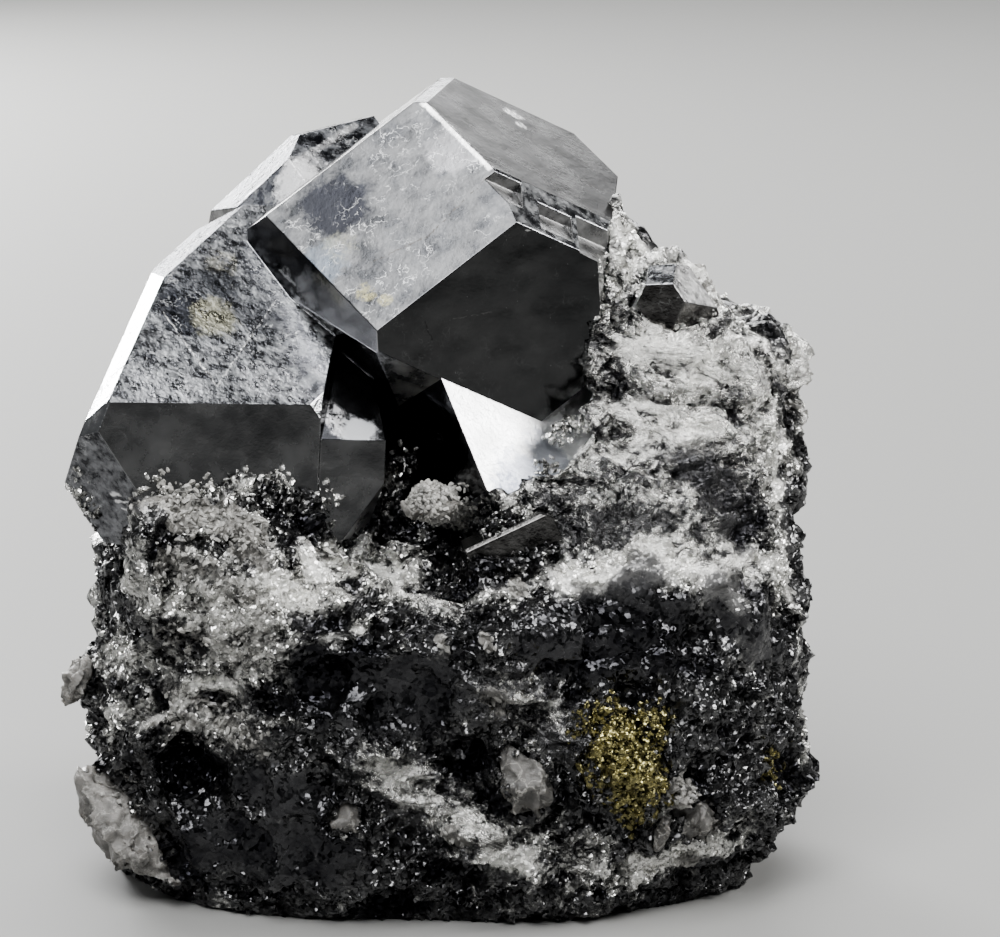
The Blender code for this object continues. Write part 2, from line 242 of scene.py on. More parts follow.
def newPiece(name, bm):
    mesh = bpy.data.meshes.new(name)
    bm.to_mesh(mesh)
    bm.free()
    piece = bpy.data.objects.new(name, mesh)
    bpy.context.scene.collection.objects.link(piece)
    return piece


def plainMesh(piece):
    # the object's mesh with its modifiers worked in
    graph = bpy.context.evaluated_depsgraph_get()
    mesh = bpy.data.meshes.new_from_object(piece.evaluated_get(graph))
    piece.modifiers.clear()
    piece.data = mesh
    return mesh


def remeshed(piece, voxel):
    modifier = piece.modifiers.new("remesh", "REMESH")
    modifier.mode = "VOXEL"
    modifier.voxel_size = voxel * mm
    modifier.use_smooth_shade = True
    return plainMesh(piece)


def keepMainBody(mesh):
    # a wall thinner than the remesh cells can leave specks beside the main body: they go
    bm = bmesh.new()
    bm.from_mesh(mesh)
    unseen = set(bm.verts)
    bodies = []
    while unseen:
        waiting = [unseen.pop()]
        body = set(waiting)
        while waiting:
            vert = waiting.pop()
            around = {edge.other_vert(vert) for edge in vert.link_edges} - body
            body |= around
            waiting.extend(around)
        unseen -= body
        bodies.append(body)
    bodies.sort(key=len)
    specks = [vert for body in bodies[:-1] for vert in body]
    bmesh.ops.delete(bm, geom=specks, context="VERTS")
    bm.to_mesh(mesh)
    bm.free()


def insideBox(point):
    # the point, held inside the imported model's box
    return [min(max(value, low), high) for value, low, high in zip(point, cadLow, cadHigh)]


def coordinates(mesh):
    # every vertex in metres, one row each
    places = np.empty(len(mesh.vertices) * 3)
    mesh.vertices.foreach_get("co", places)
    return places.reshape(-1, 3)


def pointsOf(mesh):
    return coordinates(mesh) / mm


def setLayer(mesh, name, values):
    layer = mesh.attributes.new(name, "FLOAT", "POINT")
    layer.data.foreach_set("value", values)


def layerOf(mesh, name):
    values = np.empty(len(mesh.vertices))
    mesh.attributes[name].data.foreach_get("value", values)
    return values


def dress(piece, finishes, slotName, *nodes):
    for finish in finishes:
        piece.data.materials.append(finish)
    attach(piece, "root")
    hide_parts(*nodes)


def surfaceOf(*nodeNames):
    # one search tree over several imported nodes
    corners, faces = [], []
    for nodeName in nodeNames:
        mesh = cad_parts[nodeName].data
        start = len(corners)
        corners.extend(vert.co.copy() for vert in mesh.vertices)
        faces.extend([start + index for index in face.vertices] for face in mesh.polygons)
    return BVHTree.FromPolygons(corners, faces)


grownNodes = sorted(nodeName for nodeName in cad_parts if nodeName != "matrix")
rockSurface = surfaceOf("matrix")
grownSurface = surfaceOf(*grownNodes)
crystalSurface = surfaceOf("crystal_group")


def pointSeen(pixel, surface):
    # where the ray through a pixel meets a surface, or comes nearest to it, in mm
    eye, direction = rayThrough(*pixel)
    hit = surface.ray_cast(eye, direction)[0]
    if hit is None:
        hit = surface.find_nearest(eye + direction * cameraSetup["distance"] * mm)[0]
    return hit / mm


# crystal finishes: base colours, roughness, size of the tarnish in mm, strength of the etched lines, depth of
# the pits in mm and strength of the specks; edge tints the metal where it is seen at a low angle. A patch is
# a pixel, a radius in mm, a colour and how strong. A line is two pixels, a width in mm, a colour and how
# strong.
crystalLooks = {
    # etchedTop: the white patch at (300, 176) and the white lines along the edges are painted highlights
    "etchedTop": {
        "colours": ((0.050, 0.052, 0.056), (0.135, 0.137, 0.141)), "roughness": (0.26, 0.44),
        "tarnish": 1.1, "etching": 0.5, "pits": 0.018, "specks": 0.6, "patches": [
            ((334, 205), 2.0, (0.020, 0.021, 0.026), 0.95), ((300, 176), 1.2, (0.95, 0.95, 0.96), 0.9),
            ((366, 292), 0.6, (0.36, 0.33, 0.17), 0.5), ((385, 300), 0.4, (0.36, 0.33, 0.17), 0.4),
            ((325, 262), 1.3, (0.13, 0.16, 0.20), 0.4), ((340, 245), 1.0, (0.26, 0.26, 0.20), 0.35),
            ((455, 150), 1.6, (0.24, 0.24, 0.25), 0.6),
        ], "lines": [
            ((487, 178), (428, 236), 0.05, (0.05, 0.045, 0.04), 0.8),
            ((428, 236), (372, 262), 0.05, (0.05, 0.045, 0.04), 0.7),
            ((425, 104), (490, 168), 0.20, (0.97, 0.97, 0.97), 0.8),
            ((398, 104), (424, 104), 0.16, (0.9, 0.9, 0.9), 0.7),
            ((500, 250), (524, 232), 0.16, (0.9, 0.9, 0.9), 0.6),
            ((468, 268), (505, 244), 0.14, (0.9, 0.9, 0.9), 0.6),
        ],
    },
    # satinBack: the two small white patches and the white line along its edge are painted highlights
    "satinBack": {
        "colours": ((0.004, 0.0042, 0.0045), (0.011, 0.0113, 0.0118)), "roughness": (0.24, 0.34),
        "edge": 0.66, "tarnish": 2.6, "etching": 0.0, "pits": 0.02, "specks": 0.0, "patches": [
            ((514, 114), 0.6, (0.8, 0.8, 0.8), 0.6), ((521, 125), 0.4, (0.8, 0.8, 0.8), 0.6),
            ((440, 96), 1.6, (0.022, 0.022, 0.024), 0.8),
        ], "lines": [((428, 104), (492, 168), 0.12, (0.9, 0.9, 0.9), 0.8)],
    },
    # shadedFront: near-black base, painted as the dark reflection of this mirror face; its white line is a
    # painted highlight
    "shadedFront": {
        "colours": ((0.036, 0.037, 0.038), (0.060, 0.061, 0.062)), "roughness": (0.10, 0.2),
        "tarnish": 4.0, "etching": 0.05, "pits": 0.008, "specks": 0.5, "lines": [
            ((527, 230), (598, 256), 0.08, (0.8, 0.8, 0.8), 0.9),
            ((425, 322), (432, 340), 0.05, (0.02, 0.02, 0.02), 0.8),
            ((450, 320), (490, 312), 0.04, (0.14, 0.14, 0.14), 0.6),
        ],
    },
    # paintedReflectionSide: dark base painted as dark reflection, with lighter patches and a light line
    # painted as reflection on the face
    "paintedReflectionSide": {
        "colours": ((0.028, 0.029, 0.032), (0.050, 0.051, 0.055)), "roughness": (0.14, 0.22),
        "tarnish": 2.0, "etching": 0.05, "pits": 0.01, "specks": 0.25, "patches": [
            ((352, 326), 3.2, (0.42, 0.42, 0.44), 0.9), ((310, 296), 1.5, (0.34, 0.34, 0.35), 0.8),
            ((286, 272), 0.35, (0.5, 0.5, 0.5), 0.7),
        ], "lines": [((280, 270), (296, 286), 0.10, (0.6, 0.6, 0.6), 0.8)],
    },
    # shadedStep: darker base, painted shade on the step faces and on the riser under the step
    "shadedStep": {
        "colours": ((0.16, 0.162, 0.165), (0.23, 0.232, 0.235)), "roughness": (0.22, 0.32),
        "tarnish": 3.0, "etching": 0.04, "pits": 0.008, "specks": 0.4,
    },
    # shadedMirror: near-black base on the mirror faces and on the face in the recess under the main crystal,
    # painted dark reflection and painted shade
    "shadedMirror": {
        "colours": ((0.055, 0.056, 0.06), (0.095, 0.096, 0.10)), "roughness": (0.06, 0.14),
        "tarnish": 4.0, "etching": 0.05, "pits": 0.008, "specks": 0.25,
    },
    "frostedTop": {
        "colours": ((0.085, 0.088, 0.098), (0.33, 0.34, 0.355)), "roughness": (0.18, 0.44),
        "tarnish": 0.55, "etching": 0.7, "pits": 0.06, "specks": 1.0, "patches": [
            ((196, 300), 2.6, (0.050, 0.053, 0.062), 0.7), ((262, 318), 1.4, (0.06, 0.063, 0.072), 0.6),
            ((183, 312), 1.5, (0.028, 0.030, 0.038), 0.8), ((222, 282), 1.2, (0.04, 0.043, 0.050), 0.7),
            ((150, 388), 1.2, (0.50, 0.51, 0.54), 0.5), ((292, 388), 1.2, (0.50, 0.51, 0.54), 0.5),
            ((150, 340), 0.9, (0.02, 0.02, 0.022), 0.8), ((214, 318), 1.3, (0.40, 0.39, 0.29), 0.75),
            ((222, 262), 0.9, (0.34, 0.33, 0.27), 0.6), ((190, 388), 1.0, (0.62, 0.63, 0.66), 0.7),
            ((262, 378), 1.3, (0.60, 0.61, 0.64), 0.6), ((300, 352), 1.0, (0.45, 0.46, 0.49), 0.6),
            ((325, 372), 0.7, (0.7, 0.7, 0.72), 0.6),
        ], "lines": [
            ((163, 312), (217, 386), 0.055, (0.9, 0.9, 0.9), 0.9),
            ((217, 386), (254, 332), 0.055, (0.9, 0.9, 0.9), 0.8),
            ((254, 332), (276, 300), 0.05, (0.8, 0.8, 0.8), 0.6),
            ((165, 268), (246, 246), 0.05, (0.7, 0.7, 0.7), 0.6),
        ],
    },
    "frostedPale": {
        "colours": ((0.08, 0.083, 0.092), (0.40, 0.41, 0.425)), "roughness": (0.18, 0.40),
        "tarnish": 0.8, "etching": 0.6, "pits": 0.05, "specks": 0.6,
    },
    # streakedRim: the white lines along the top-left rim are painted highlights
    "streakedRim": {
        "colours": ((0.018, 0.019, 0.024), (0.34, 0.35, 0.37)), "roughness": (0.20, 0.44),
        "edge": 0.45, "tarnish": 0.7, "etching": 1.0, "pits": 0.08, "specks": 0.8, "lines": [
            ((284, 136), (246, 196), 0.14, (0.9, 0.9, 0.92), 0.7),
            ((240, 202), (160, 262), 0.12, (0.9, 0.9, 0.92), 0.6),
        ],
    },
    # ledgeTop: the white patches and the white line along the top edge are painted highlights
    "ledgeTop": {
        "colours": ((0.030, 0.032, 0.040), (0.30, 0.31, 0.33)), "roughness": (0.20, 0.44),
        "edge": 0.9, "tarnish": 0.7, "etching": 0.9, "pits": 0.06, "specks": 0.8, "patches": [
            ((298, 176), 1.4, (0.95, 0.95, 0.96), 0.95), ((284, 194), 0.8, (0.95, 0.95, 0.96), 0.8),
            ((316, 160), 0.7, (0.8, 0.8, 0.82), 0.8),
        ], "lines": [((286, 134), (354, 126), 0.30, (0.95, 0.95, 0.96), 0.9)],
    },
    # brightStep: the white patches are painted highlights on the step
    "brightStep": {
        "colours": ((0.05, 0.052, 0.058), (0.08, 0.082, 0.088)), "roughness": (0.12, 0.22),
        "tarnish": 1.0, "etching": 0.2, "pits": 0.03, "specks": 0.4, "patches": [
            ((360, 432), 1.05, (0.86, 0.88, 0.92), 1.0), ((329, 412), 0.9, (0.9, 0.9, 0.92), 1.0),
            ((338, 426), 0.7, (0.9, 0.9, 0.92), 0.9),
        ],
    },
    "brightSilver": {
        "colours": ((0.72, 0.73, 0.75), (0.96, 0.97, 0.98)), "roughness": (0.16, 0.34),
        "tarnish": 1.4, "etching": 0.25, "pits": 0.04, "specks": 0.2,
    },
    "snowyFace": {
        "colours": ((0.82, 0.83, 0.85), (0.96, 0.97, 0.98)), "roughness": (0.34, 0.46),
        "tarnish": 1.4, "etching": 0.3, "pits": 0.05, "specks": 0.3, "patches": [
            ((524, 484), 1.9, (0.30, 0.33, 0.42), 0.75), ((500, 500), 0.9, (0.20, 0.22, 0.28), 0.7),
            ((550, 462), 1.3, (0.36, 0.39, 0.47), 0.7), ((516, 462), 0.8, (0.5, 0.53, 0.6), 0.7),
            ((536, 438), 0.9, (0.5, 0.53, 0.6), 0.7), ((508, 482), 0.7, (0.16, 0.18, 0.24), 0.7),
        ],
    },
    "smokyGrey": {
        "colours": ((0.13, 0.13, 0.132), (0.34, 0.34, 0.34)), "roughness": (0.22, 0.40),
        "tarnish": 1.2, "etching": 0.2, "pits": 0.03, "specks": 0.3,
    },
    # shadedDark: painted shade, for the front faces of the small crystals and for the pocket crystal
    "shadedDark": {
        "colours": ((0.035, 0.034, 0.033), (0.12, 0.118, 0.115)), "roughness": (0.14, 0.30),
        "tarnish": 1.0, "etching": 0.2, "pits": 0.03, "specks": 0.4,
    },
    # roughRim: the white lines at the left tip are painted highlights
    "roughRim": {
        "colours": ((0.02, 0.021, 0.025), (0.24, 0.245, 0.26)), "roughness": (0.24, 0.5),
        "tarnish": 0.6, "etching": 0.5, "pits": 0.16, "specks": 0.8, "lines": [
            ((112, 494), (152, 490), 0.20, (0.9, 0.9, 0.92), 0.95),
            ((116, 501), (150, 503), 0.12, (0.9, 0.9, 0.92), 0.9),
            ((122, 509), (146, 515), 0.09, (0.9, 0.9, 0.92), 0.8),
        ],
    },
}
# marks that all crystal faces share: sizes in mm, except that an etched line's width is a step of its noise
# and a speck's radius is a share of its cell
faceMarks = {
    "etched": {"size": 0.55, "width": 0.022, "breaks": 0.9, "groups": 2.6},
    "specks": {"perMm": 3.4, "radius": (0.03, 0.08), "rarerThan": 0.80},
    "marking": (0.86, 0.87, 0.88),   # colour of the etched lines and specks
    "ragged": (0.8, 1.5),            # size of the wander at a patch's edge, and its reach per radius
    "torn": (0.5, 1.05),             # size of the holes in small patches, and the radius they stop at
    "waver": (0.35, 0.3),            # size and reach of the wander along a line
    "highlightAbove": 0.85,              # a patch paler than this is a painted highlight, which is less metallic
    "pits": 0.28,
    "swells": (2.2, 0.10),           # size and height of the slow swells
}


def crystalFinish(name, looks):
    material, shader, place = newFinish(name)
    marks = faceMarks
    tarnish = place.blotches(looks["tarnish"], detail=5.0, rough=0.62).fade(0.38, 0.62)
    # thin bright lines where a noise crosses its middle, like etched growth lines
    etched = marks["etched"]
    crossing = abs(place.blotches(etched["size"], detail=3.0, rough=0.55, seed=4.0) - 0.5)
    broken = place.blotches(etched["breaks"], detail=2.0, rough=0.5, seed=8.0).fade(0.48, 0.58)
    gathered = place.blotches(etched["groups"], detail=3.0, rough=0.55, seed=5.0).fade(0.44, 0.58, 0.12, 1.0)
    lines = crossing.fade(0.0, etched["width"], 1.0, 0.0) * looks["etching"] * broken * gathered
    # scattered bright specks
    speck = marks["specks"]
    dust = put(place.tree, "ShaderNodeTexVoronoi", {"Vector": place, "Scale": speck["perMm"]}).outputs
    tiny = Value(place.tree, dust["Distance"]).fade(*speck["radius"], 1.0, 0.0)
    rare = put(place.tree, "ShaderNodeSeparateColor", {"Color": dust["Color"]}).outputs[0]
    chosen = Value(place.tree, rare).join("GREATER_THAN", speck["rarerThan"])
    light = lines.join("ADD", tiny * chosen * looks["specks"], clamp=True)
    base = tarnish.blend(*looks["colours"])
    paintedHighlight = 0.0
    if "patches" in looks:
        size, reach = marks["ragged"]
        hole, wholeFrom = marks["torn"]
        wander = place.wander(size)
        torn = place.blotches(hole, detail=4.0, rough=0.75, seed=14.0).fade(0.40, 0.56)
        for pixel, radius, colour, strength in looks["patches"]:
            ragged = place + wander * (reach * radius)
            share = ragged.nearPoint(pointSeen(pixel, crystalSurface), radius) * strength
            if radius < wholeFrom:
                share = share * torn
            base = share.blend(base, colour)
            # a white patch is a painted highlight: it is made less metallic so that it stays light from every
            # side
            if min(colour) > marks["highlightAbove"]:
                paintedHighlight = share.join("ADD", paintedHighlight, clamp=True)
    base = light.blend(base, marks["marking"])
    if "lines" in looks:
        size, reach = marks["waver"]
        wavering = place + place.wander(size, detail=2.0) * reach
        for start, end, width, colour, strength in looks["lines"]:
            ends = [pointSeen(pixel, crystalSurface) for pixel in (start, end)]
            base = (wavering.nearLine(*ends, width) * strength).blend(base, colour)
    edge = looks.get("edge", 1.0)
    fill(shader, {
        "Base Color": base, "Roughness": (tarnish + light).fade(0.0, 1.2, *looks["roughness"]),
        "Metallic": paintedHighlight.fade(0.0, 1.0, 1.0, 0.45) if isinstance(paintedHighlight, Value) else 1.0,
        "Specular Tint": (edge, edge, edge, 1.0),
    })
    size, height = marks["swells"]
    relief = place.blotches(marks["pits"], detail=3.0, rough=0.6, seed=9.0) * looks["pits"]
    addRelief(shader, relief + place.blotches(size, detail=1.0, rough=0.5, seed=2.0) * height, 0.8)
    return material


finishes = {name: crystalFinish(name, looks) for name, looks in crystalLooks.items()}
finishOrder = list(finishes)
print("crystal finishes made")

# each crystal's lattice and the finish of its faces: Miller index, distance from the centre, finish
crystals = {
    "main": {"turn": (4, 46, -100), "centre": (-0.65, 3.523, 30.8), "faces": {
        (0, 0, 1): (7.93, "etchedTop"), (1, 1, 1): (8.72, "shadedFront"),
        (1, -1, 1): (8.92, "paintedReflectionSide"), (4, -3, 0): (6.70, "shadedMirror"),
        (-1, 2, 2): (9.38, "frostedPale"), (-1, 1, 1): (8.90, "satinBack"),
        (-1, 0, 1): (10.43, "frostedPale"),
    }},
    "lower": {"turn": (4, 46, -100), "centre": (-0.65, 3.523, 30.8), "faces": {
        (0, 1, 1): (4.95, "snowyFace"), (1, -1, 1): (5.70, "shadedMirror"),
        (1, 0, 0): (13.4, "roughRim"), (1, 1, 1): (12.2, "roughRim"),
    }},
    "left": {"turn": (-38, -5, -163), "centre": (-10.35, -0.977, 25.0), "faces": {
        (0, 0, 1): (6.17, "frostedTop"), (0, 1, 1): (7.37, "shadedStep"),
        (-1, 1, 2): (7.35, "brightSilver"), (-3, 1, 1): (4.96, "shadedMirror"),
        (2, -1, 1): (8.50, "brightSilver"), (1, -1, 1): (9.00, "streakedRim"),
        (2, 0, 1): (11.13, "brightSilver"), (1, 1, 0): (10.8, "roughRim"),
        (0, 1, -1): (6.55, "shadedMirror"),
    }},
    "step": {"turn": (-38, -5, -163), "centre": (-10.35, -0.977, 25.0), "faces": {
        (0, 0, 1): (4.70, "brightStep"), (0, 1, 1): (7.15, "shadedStep"),
        (-1, 0, 0): (5.70, "shadedMirror"),
    }},
    "ledge": {"turn": (-31, 7, -150), "centre": (-6.05, 6.623, 33.1), "faces": {
        (0, 0, 1): (4.35, "ledgeTop"), (0, 1, 1): (4.30, "frostedPale"),
        (1, 0, 1): (4.60, "ledgeTop"), (1, -1, 1): (5.00, "streakedRim"),
    }},
}
crystalMaking = {
    "edgeRound": 0.05, "sharpFrom": 9.0, "shortEdge": 0.25,   # mm, degrees, mm: which edges are bevelled
    "flatTilt": 0.002,                                        # radians between the triangles of one face
    "matchTilt": 0.9998, "matchOff": 0.06,                    # how well a face has to fit its lattice plane
    "paleAbove": 0.8, "darkBelow": -0.7, "brightBelow": -0.35,   # small crystals: their normal's z, y and x, for painted light that makes them pale on top, dark at the front and bright on the left
}


def faceFinish(face):
    # the finish of the crystal face that a polygon lies on
    for crystal in crystals.values():
        lattice = Euler([math.radians(angle) for angle in crystal["turn"]]).to_matrix()
        for index, (distance, finish) in crystal["faces"].items():
            normal = (lattice @ Vector(index)).normalized()
            reach = (face.calc_center_median() / mm - Vector(crystal["centre"])).dot(normal)
            alike = face.normal.dot(normal) > crystalMaking["matchTilt"]
            if alike and abs(reach - distance) < crystalMaking["matchOff"]:
                return finish
    return "smokyGrey"


def smallFinish(nodeName, normal):
    # painted light and shade: the pocket crystal is painted dark as shade, and the other small crystals are
    # pale on top, dark towards the front and bright on the left, as light falls on them
    if nodeName == "pocket_crystal":
        return "shadedDark"
    if normal.z > crystalMaking["paleAbove"]:
        return "frostedPale"
    if normal.y < crystalMaking["darkBelow"]:
        return "shadedDark"
    return "smokyGrey" if normal.x > crystalMaking["brightBelow"] else "brightSilver"


def makeCrystals():
    making = crystalMaking
    pieceNames = {
        "crystal_group": "grown_crystals", "right_crystal": "shoulder_crystal", "pocket_crystal": "dark_slab",
    }
    for nodeName, pieceName in pieceNames.items():
        bm = mergedCopy(nodeName)
        bmesh.ops.dissolve_limit(bm, angle_limit=making["flatTilt"], verts=bm.verts, edges=bm.edges)
        bm.normal_update()
        for face in bm.faces:
            grown = nodeName == "crystal_group"
            finish = faceFinish(face) if grown else smallFinish(nodeName, face.normal)
            face.material_index = finishOrder.index(finish)
        edges = [
            edge for edge in bm.edges
            if edge.is_manifold and edge.calc_face_angle() > math.radians(making["sharpFrom"])
            and edge.calc_length() > making["shortEdge"] * mm
        ]
        bmesh.ops.bevel(
            bm, geom=edges, offset=making["edgeRound"] * mm, segments=2, profile=0.5, affect="EDGES",
            clamp_overlap=False, material=-1,
        )
        piece = newPiece(pieceName, bm)
        dress(piece, finishes.values(), "crystal_skutterudite", nodeName)
        print(pieceName, len(piece.data.polygons), "faces")


makeCrystals()

# the rock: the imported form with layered, crumbled and cleaved relief, and patches painted on its points

# strokes on the rock: pixel at one end, pixel at the other, radius in mm, how strong
rockPatches = {
    # silverAndPaintedLight: silver rock laid where the rock is lit, partly the metal's own silver and partly
    # painted light
    "silverAndPaintedLight": [
        (628, 222, 702, 292, 1.7, 1.0), (705, 305, 795, 342, 0.9, 0.8), (612, 330, 720, 362, 1.7, 1.0),
        (640, 385, 700, 395, 0.9, 0.7), (622, 412, 705, 440, 1.4, 1.0), (560, 445, 592, 470, 1.1, 0.7),
        (600, 490, 690, 500, 1.0, 0.6), (772, 400, 792, 600, 0.8, 0.9), (566, 577, 650, 566, 1.1, 1.0),
        (650, 562, 730, 578, 1.5, 1.0), (738, 548, 786, 575, 1.1, 1.0), (800, 600, 811, 760, 0.35, 0.9),
        (480, 855, 620, 884, 0.9, 0.8), (620, 884, 745, 832, 1.0, 0.8), (232, 600, 330, 588, 1.3, 1.0),
        (330, 560, 392, 566, 1.5, 0.85), (380, 575, 440, 602, 0.9, 0.7), (440, 602, 532, 588, 0.6, 0.8),
        (325, 645, 368, 622, 0.6, 0.95), (120, 494, 154, 510, 0.7, 0.95), (150, 716, 196, 690, 0.6, 0.85),
        (196, 690, 228, 690, 0.5, 0.8), (262, 724, 330, 722, 0.3, 0.8), (505, 692, 562, 718, 0.8, 0.55),
        (372, 765, 486, 846, 1.5, 0.72), (125, 585, 270, 625, 1.7, 0.66), (115, 650, 285, 665, 1.7, 0.62),
        (110, 715, 240, 735, 1.3, 0.6), (640, 800, 740, 850, 0.9, 0.55), (500, 840, 600, 850, 0.9, 0.5),
        (560, 705, 572, 735, 0.6, 0.4), (130, 560, 200, 570, 1.6, 0.45), (90, 800, 100, 840, 0.8, 0.5),
        (335, 765, 350, 800, 0.6, 0.5), (740, 640, 780, 700, 1.2, 0.35),
    ],
    # paintedGleam: painted highlight on the brightest lit ledges and slopes
    "paintedGleam": [
        (566, 580, 650, 574, 0.8, 1.0), (655, 562, 735, 588, 1.0, 1.0), (738, 548, 784, 574, 0.8, 0.9),
        (620, 450, 700, 440, 0.8, 0.8), (636, 342, 704, 372, 0.9, 0.8), (634, 240, 656, 262, 1.4, 0.8),
        (656, 262, 692, 286, 1.5, 1.0), (258, 578, 302, 592, 0.8, 0.9), (318, 556, 385, 574, 0.9, 0.85),
        (225, 560, 262, 572, 0.6, 0.5), (745, 336, 785, 346, 0.5, 0.8), (575, 430, 592, 450, 0.5, 0.6),
        (782, 420, 796, 590, 0.45, 0.7), (622, 405, 660, 412, 0.5, 0.7), (330, 640, 362, 626, 0.4, 0.8),
        (152, 714, 190, 692, 0.35, 0.7), (210, 690, 228, 690, 0.3, 0.7), (450, 588, 530, 578, 0.35, 0.5),
        (505, 856, 600, 872, 0.7, 0.4), (640, 872, 720, 846, 0.6, 0.4),
    ],
    # dark: painted shade in hollows, under overhangs and along the foot of the rock
    "dark": [
        (560, 640, 650, 625, 2.3, 1.0), (700, 475, 745, 515, 1.7, 0.7), (590, 375, 625, 392, 0.8, 0.6),
        (320, 690, 430, 700, 2.2, 1.0), (110, 582, 110, 606, 0.9, 1.0), (180, 840, 400, 872, 2.8, 0.9),
        (680, 690, 775, 720, 1.7, 0.6), (560, 520, 600, 530, 1.0, 0.5), (400, 640, 560, 660, 1.6, 0.7),
        (800, 400, 805, 560, 0.6, 0.9), (250, 760, 330, 770, 2.0, 0.8), (760, 790, 770, 850, 1.5, 0.6),
        (600, 470, 640, 475, 0.7, 0.5), (575, 720, 590, 800, 1.0, 0.7),
    ],
    "pale": [
        (165, 502, 252, 520, 1.1, 1.0), (180, 566, 250, 600, 1.5, 0.5), (170, 640, 262, 640, 1.9, 0.45),
        (165, 705, 250, 745, 1.5, 0.5), (790, 352, 798, 375, 0.7, 0.35), (345, 800, 350, 832, 1.0, 0.7),
        (453, 832, 458, 842, 0.45, 1.0), (680, 792, 708, 825, 0.8, 0.9), (688, 862, 696, 868, 0.5, 1.0),
        (515, 572, 519, 582, 0.4, 1.0), (440, 640, 444, 646, 0.3, 0.9), (482, 638, 490, 650, 0.35, 0.9),
        (490, 690, 505, 705, 0.7, 0.6), (240, 545, 262, 560, 0.8, 0.6), (320, 540, 330, 548, 0.5, 0.6),
    ],
    "layered": [
        (600, 330, 740, 380, 3.0, 1.0), (590, 430, 720, 450, 3.0, 1.0), (580, 500, 720, 520, 2.6, 1.0),
        (375, 765, 490, 845, 1.8, 0.8), (500, 690, 565, 735, 1.4, 0.7), (370, 560, 440, 600, 1.2, 0.7),
    ],
    "brassy": [
        (585, 722, 662, 722, 0.8, 1.0), (612, 740, 640, 790, 1.0, 1.0), (622, 800, 630, 822, 0.5, 0.9),
        (592, 745, 600, 770, 0.6, 0.7), (778, 765, 788, 778, 0.7, 0.8), (668, 792, 680, 800, 0.3, 0.7),
    ],
    # cleaved: flat cleavage steps, on the same shaded places as the dark strokes; their near-black colour is
    # painted shade
    "cleaved": [
        (560, 645, 660, 630, 2.6, 1.0), (320, 680, 430, 700, 2.2, 1.0), (700, 470, 745, 520, 1.6, 1.0),
        (620, 590, 655, 600, 1.0, 1.0), (720, 590, 770, 600, 1.2, 1.0), (110, 590, 112, 605, 0.8, 1.0),
        (300, 620, 345, 632, 0.8, 0.9), (250, 790, 300, 800, 1.5, 0.9), (640, 580, 660, 640, 1.5, 1.0),
        (730, 600, 770, 660, 2.0, 0.8), (110, 495, 156, 512, 0.9, 1.0), (200, 840, 330, 860, 2.4, 0.8),
    ],
}

# how the rock is made; lengths in mm
rockMaking = {
    "voxel": 0.27,                  # between points
    "sink": 0.16,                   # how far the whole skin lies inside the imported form
    "meet": 0.55,                   # within this of a crystal the rock closes up to it
    "close": 0.36,                  # and swells by this
    "baseFade": 0.8,                # the relief fades out this near the ground
    "facets": ((2.1, 0.40), (1.0, 0.34), (0.55, 0.16)),   # width of the broken facets and their height
    "facetShares": (0.75, 0.35, 0.15),                    # how they show on plain, layered and cleaved rock
    "crumbs": ((1.5, 0.42), (0.75, 0.30)),                # width of the rounded crumbs and their height
    "layers": ((1.7, 0.75), (0.85, 0.42)),                # spacing of the wavy layers and their height
    "layerSlope": (0.22, -0.25, 1.0),                     # the way across the layers
    "layerLength": 0.22,                                  # how much slower they change along than across
    "layerBends": (4.0, 0.9),                             # width and reach of the bends in the layers
    "planes": ((3.4, 0.75),),                             # width of the flat cleavage steps and their height
    "swells": (3.8, 0.75),          # width of the slow hollows and their depth
    "shoulder": ((9.2, 4.2, 33.2), (14.0, 4.0, 30.8), 2.6, 2.2, 0.8),   # ends, radius and rise at each end
    "unevenRidge": (1.2, 0.5),      # width and share of the uneven top of that ridge
    "brightAbove": 19.5,            # the broken rock is painted duller below this and lighter above, as painted light, and changes over the next
    "brightFade": 4.0,
    "frayed": (0.9, 0.35),          # widths of the noise that frays the strokes
    "slow": 3.2,                    # width of the slow noise that paints where no stroke reaches
    "strokesEnd": -2.0,             # y where the strokes begin to give way to it, and over how far
    "strokesFade": 3.0,
}


def facetHeight(spot, rise, key):
    # flat facets, each leaning its own way and set at its own level
    middle = noise.voronoi(spot)[1][0]
    lean = noise.noise_vector(middle * 5.3 + key)
    return rise * (1.4 * lean.dot(spot - middle) + 0.9 * noise.noise(middle * 3.9 + key))


def rockRelief(point, layered, cleaved):
    making = rockMaking
    key = Vector((3.1, 1.3, 7.7))
    plain = 1 - max(layered, cleaved)
    onPlain, onLayered, onCleaved = making["facetShares"]
    broken = plain * onPlain + layered * onLayered + cleaved * onCleaved
    height = 0.0
    for size, rise in making["facets"]:
        height += facetHeight(point / size + key, rise, key) * broken
    for size, rise in making["crumbs"]:
        near = noise.voronoi(point / size + key)[0][0]
        height += rise * (0.45 - near) * 1.5 * plain
    across = Vector(making["layerSlope"]).normalized()
    width, reach = making["layerBends"]
    bent = point + noise.noise_vector(point / width) * reach
    for size, rise in making["layers"]:
        spot = bent * making["layerLength"] + across * (bent.dot(across) * (1 - making["layerLength"]))
        ridge = 1 - abs(noise.noise(spot / size * 1.1)) * 3.2
        height += rise * max(-0.8, ridge) * layered
    for size, rise in making["planes"]:
        height += facetHeight(point / size + key, rise, key * 2) * cleaved
    size, depth = making["swells"]
    return height - depth * max(0.0, 0.2 + 1.4 * noise.noise(point / size + key))


def besideLine(places, start, end):
    # for every point: how far along the line its foot is, from 0 to 1, and how far it is from that foot
    run = end - start
    along = np.clip((places - start) @ run / max(run @ run, 1e-9), 0, 1)
    return along, np.linalg.norm(places - start - along[:, None] * run, axis=1)


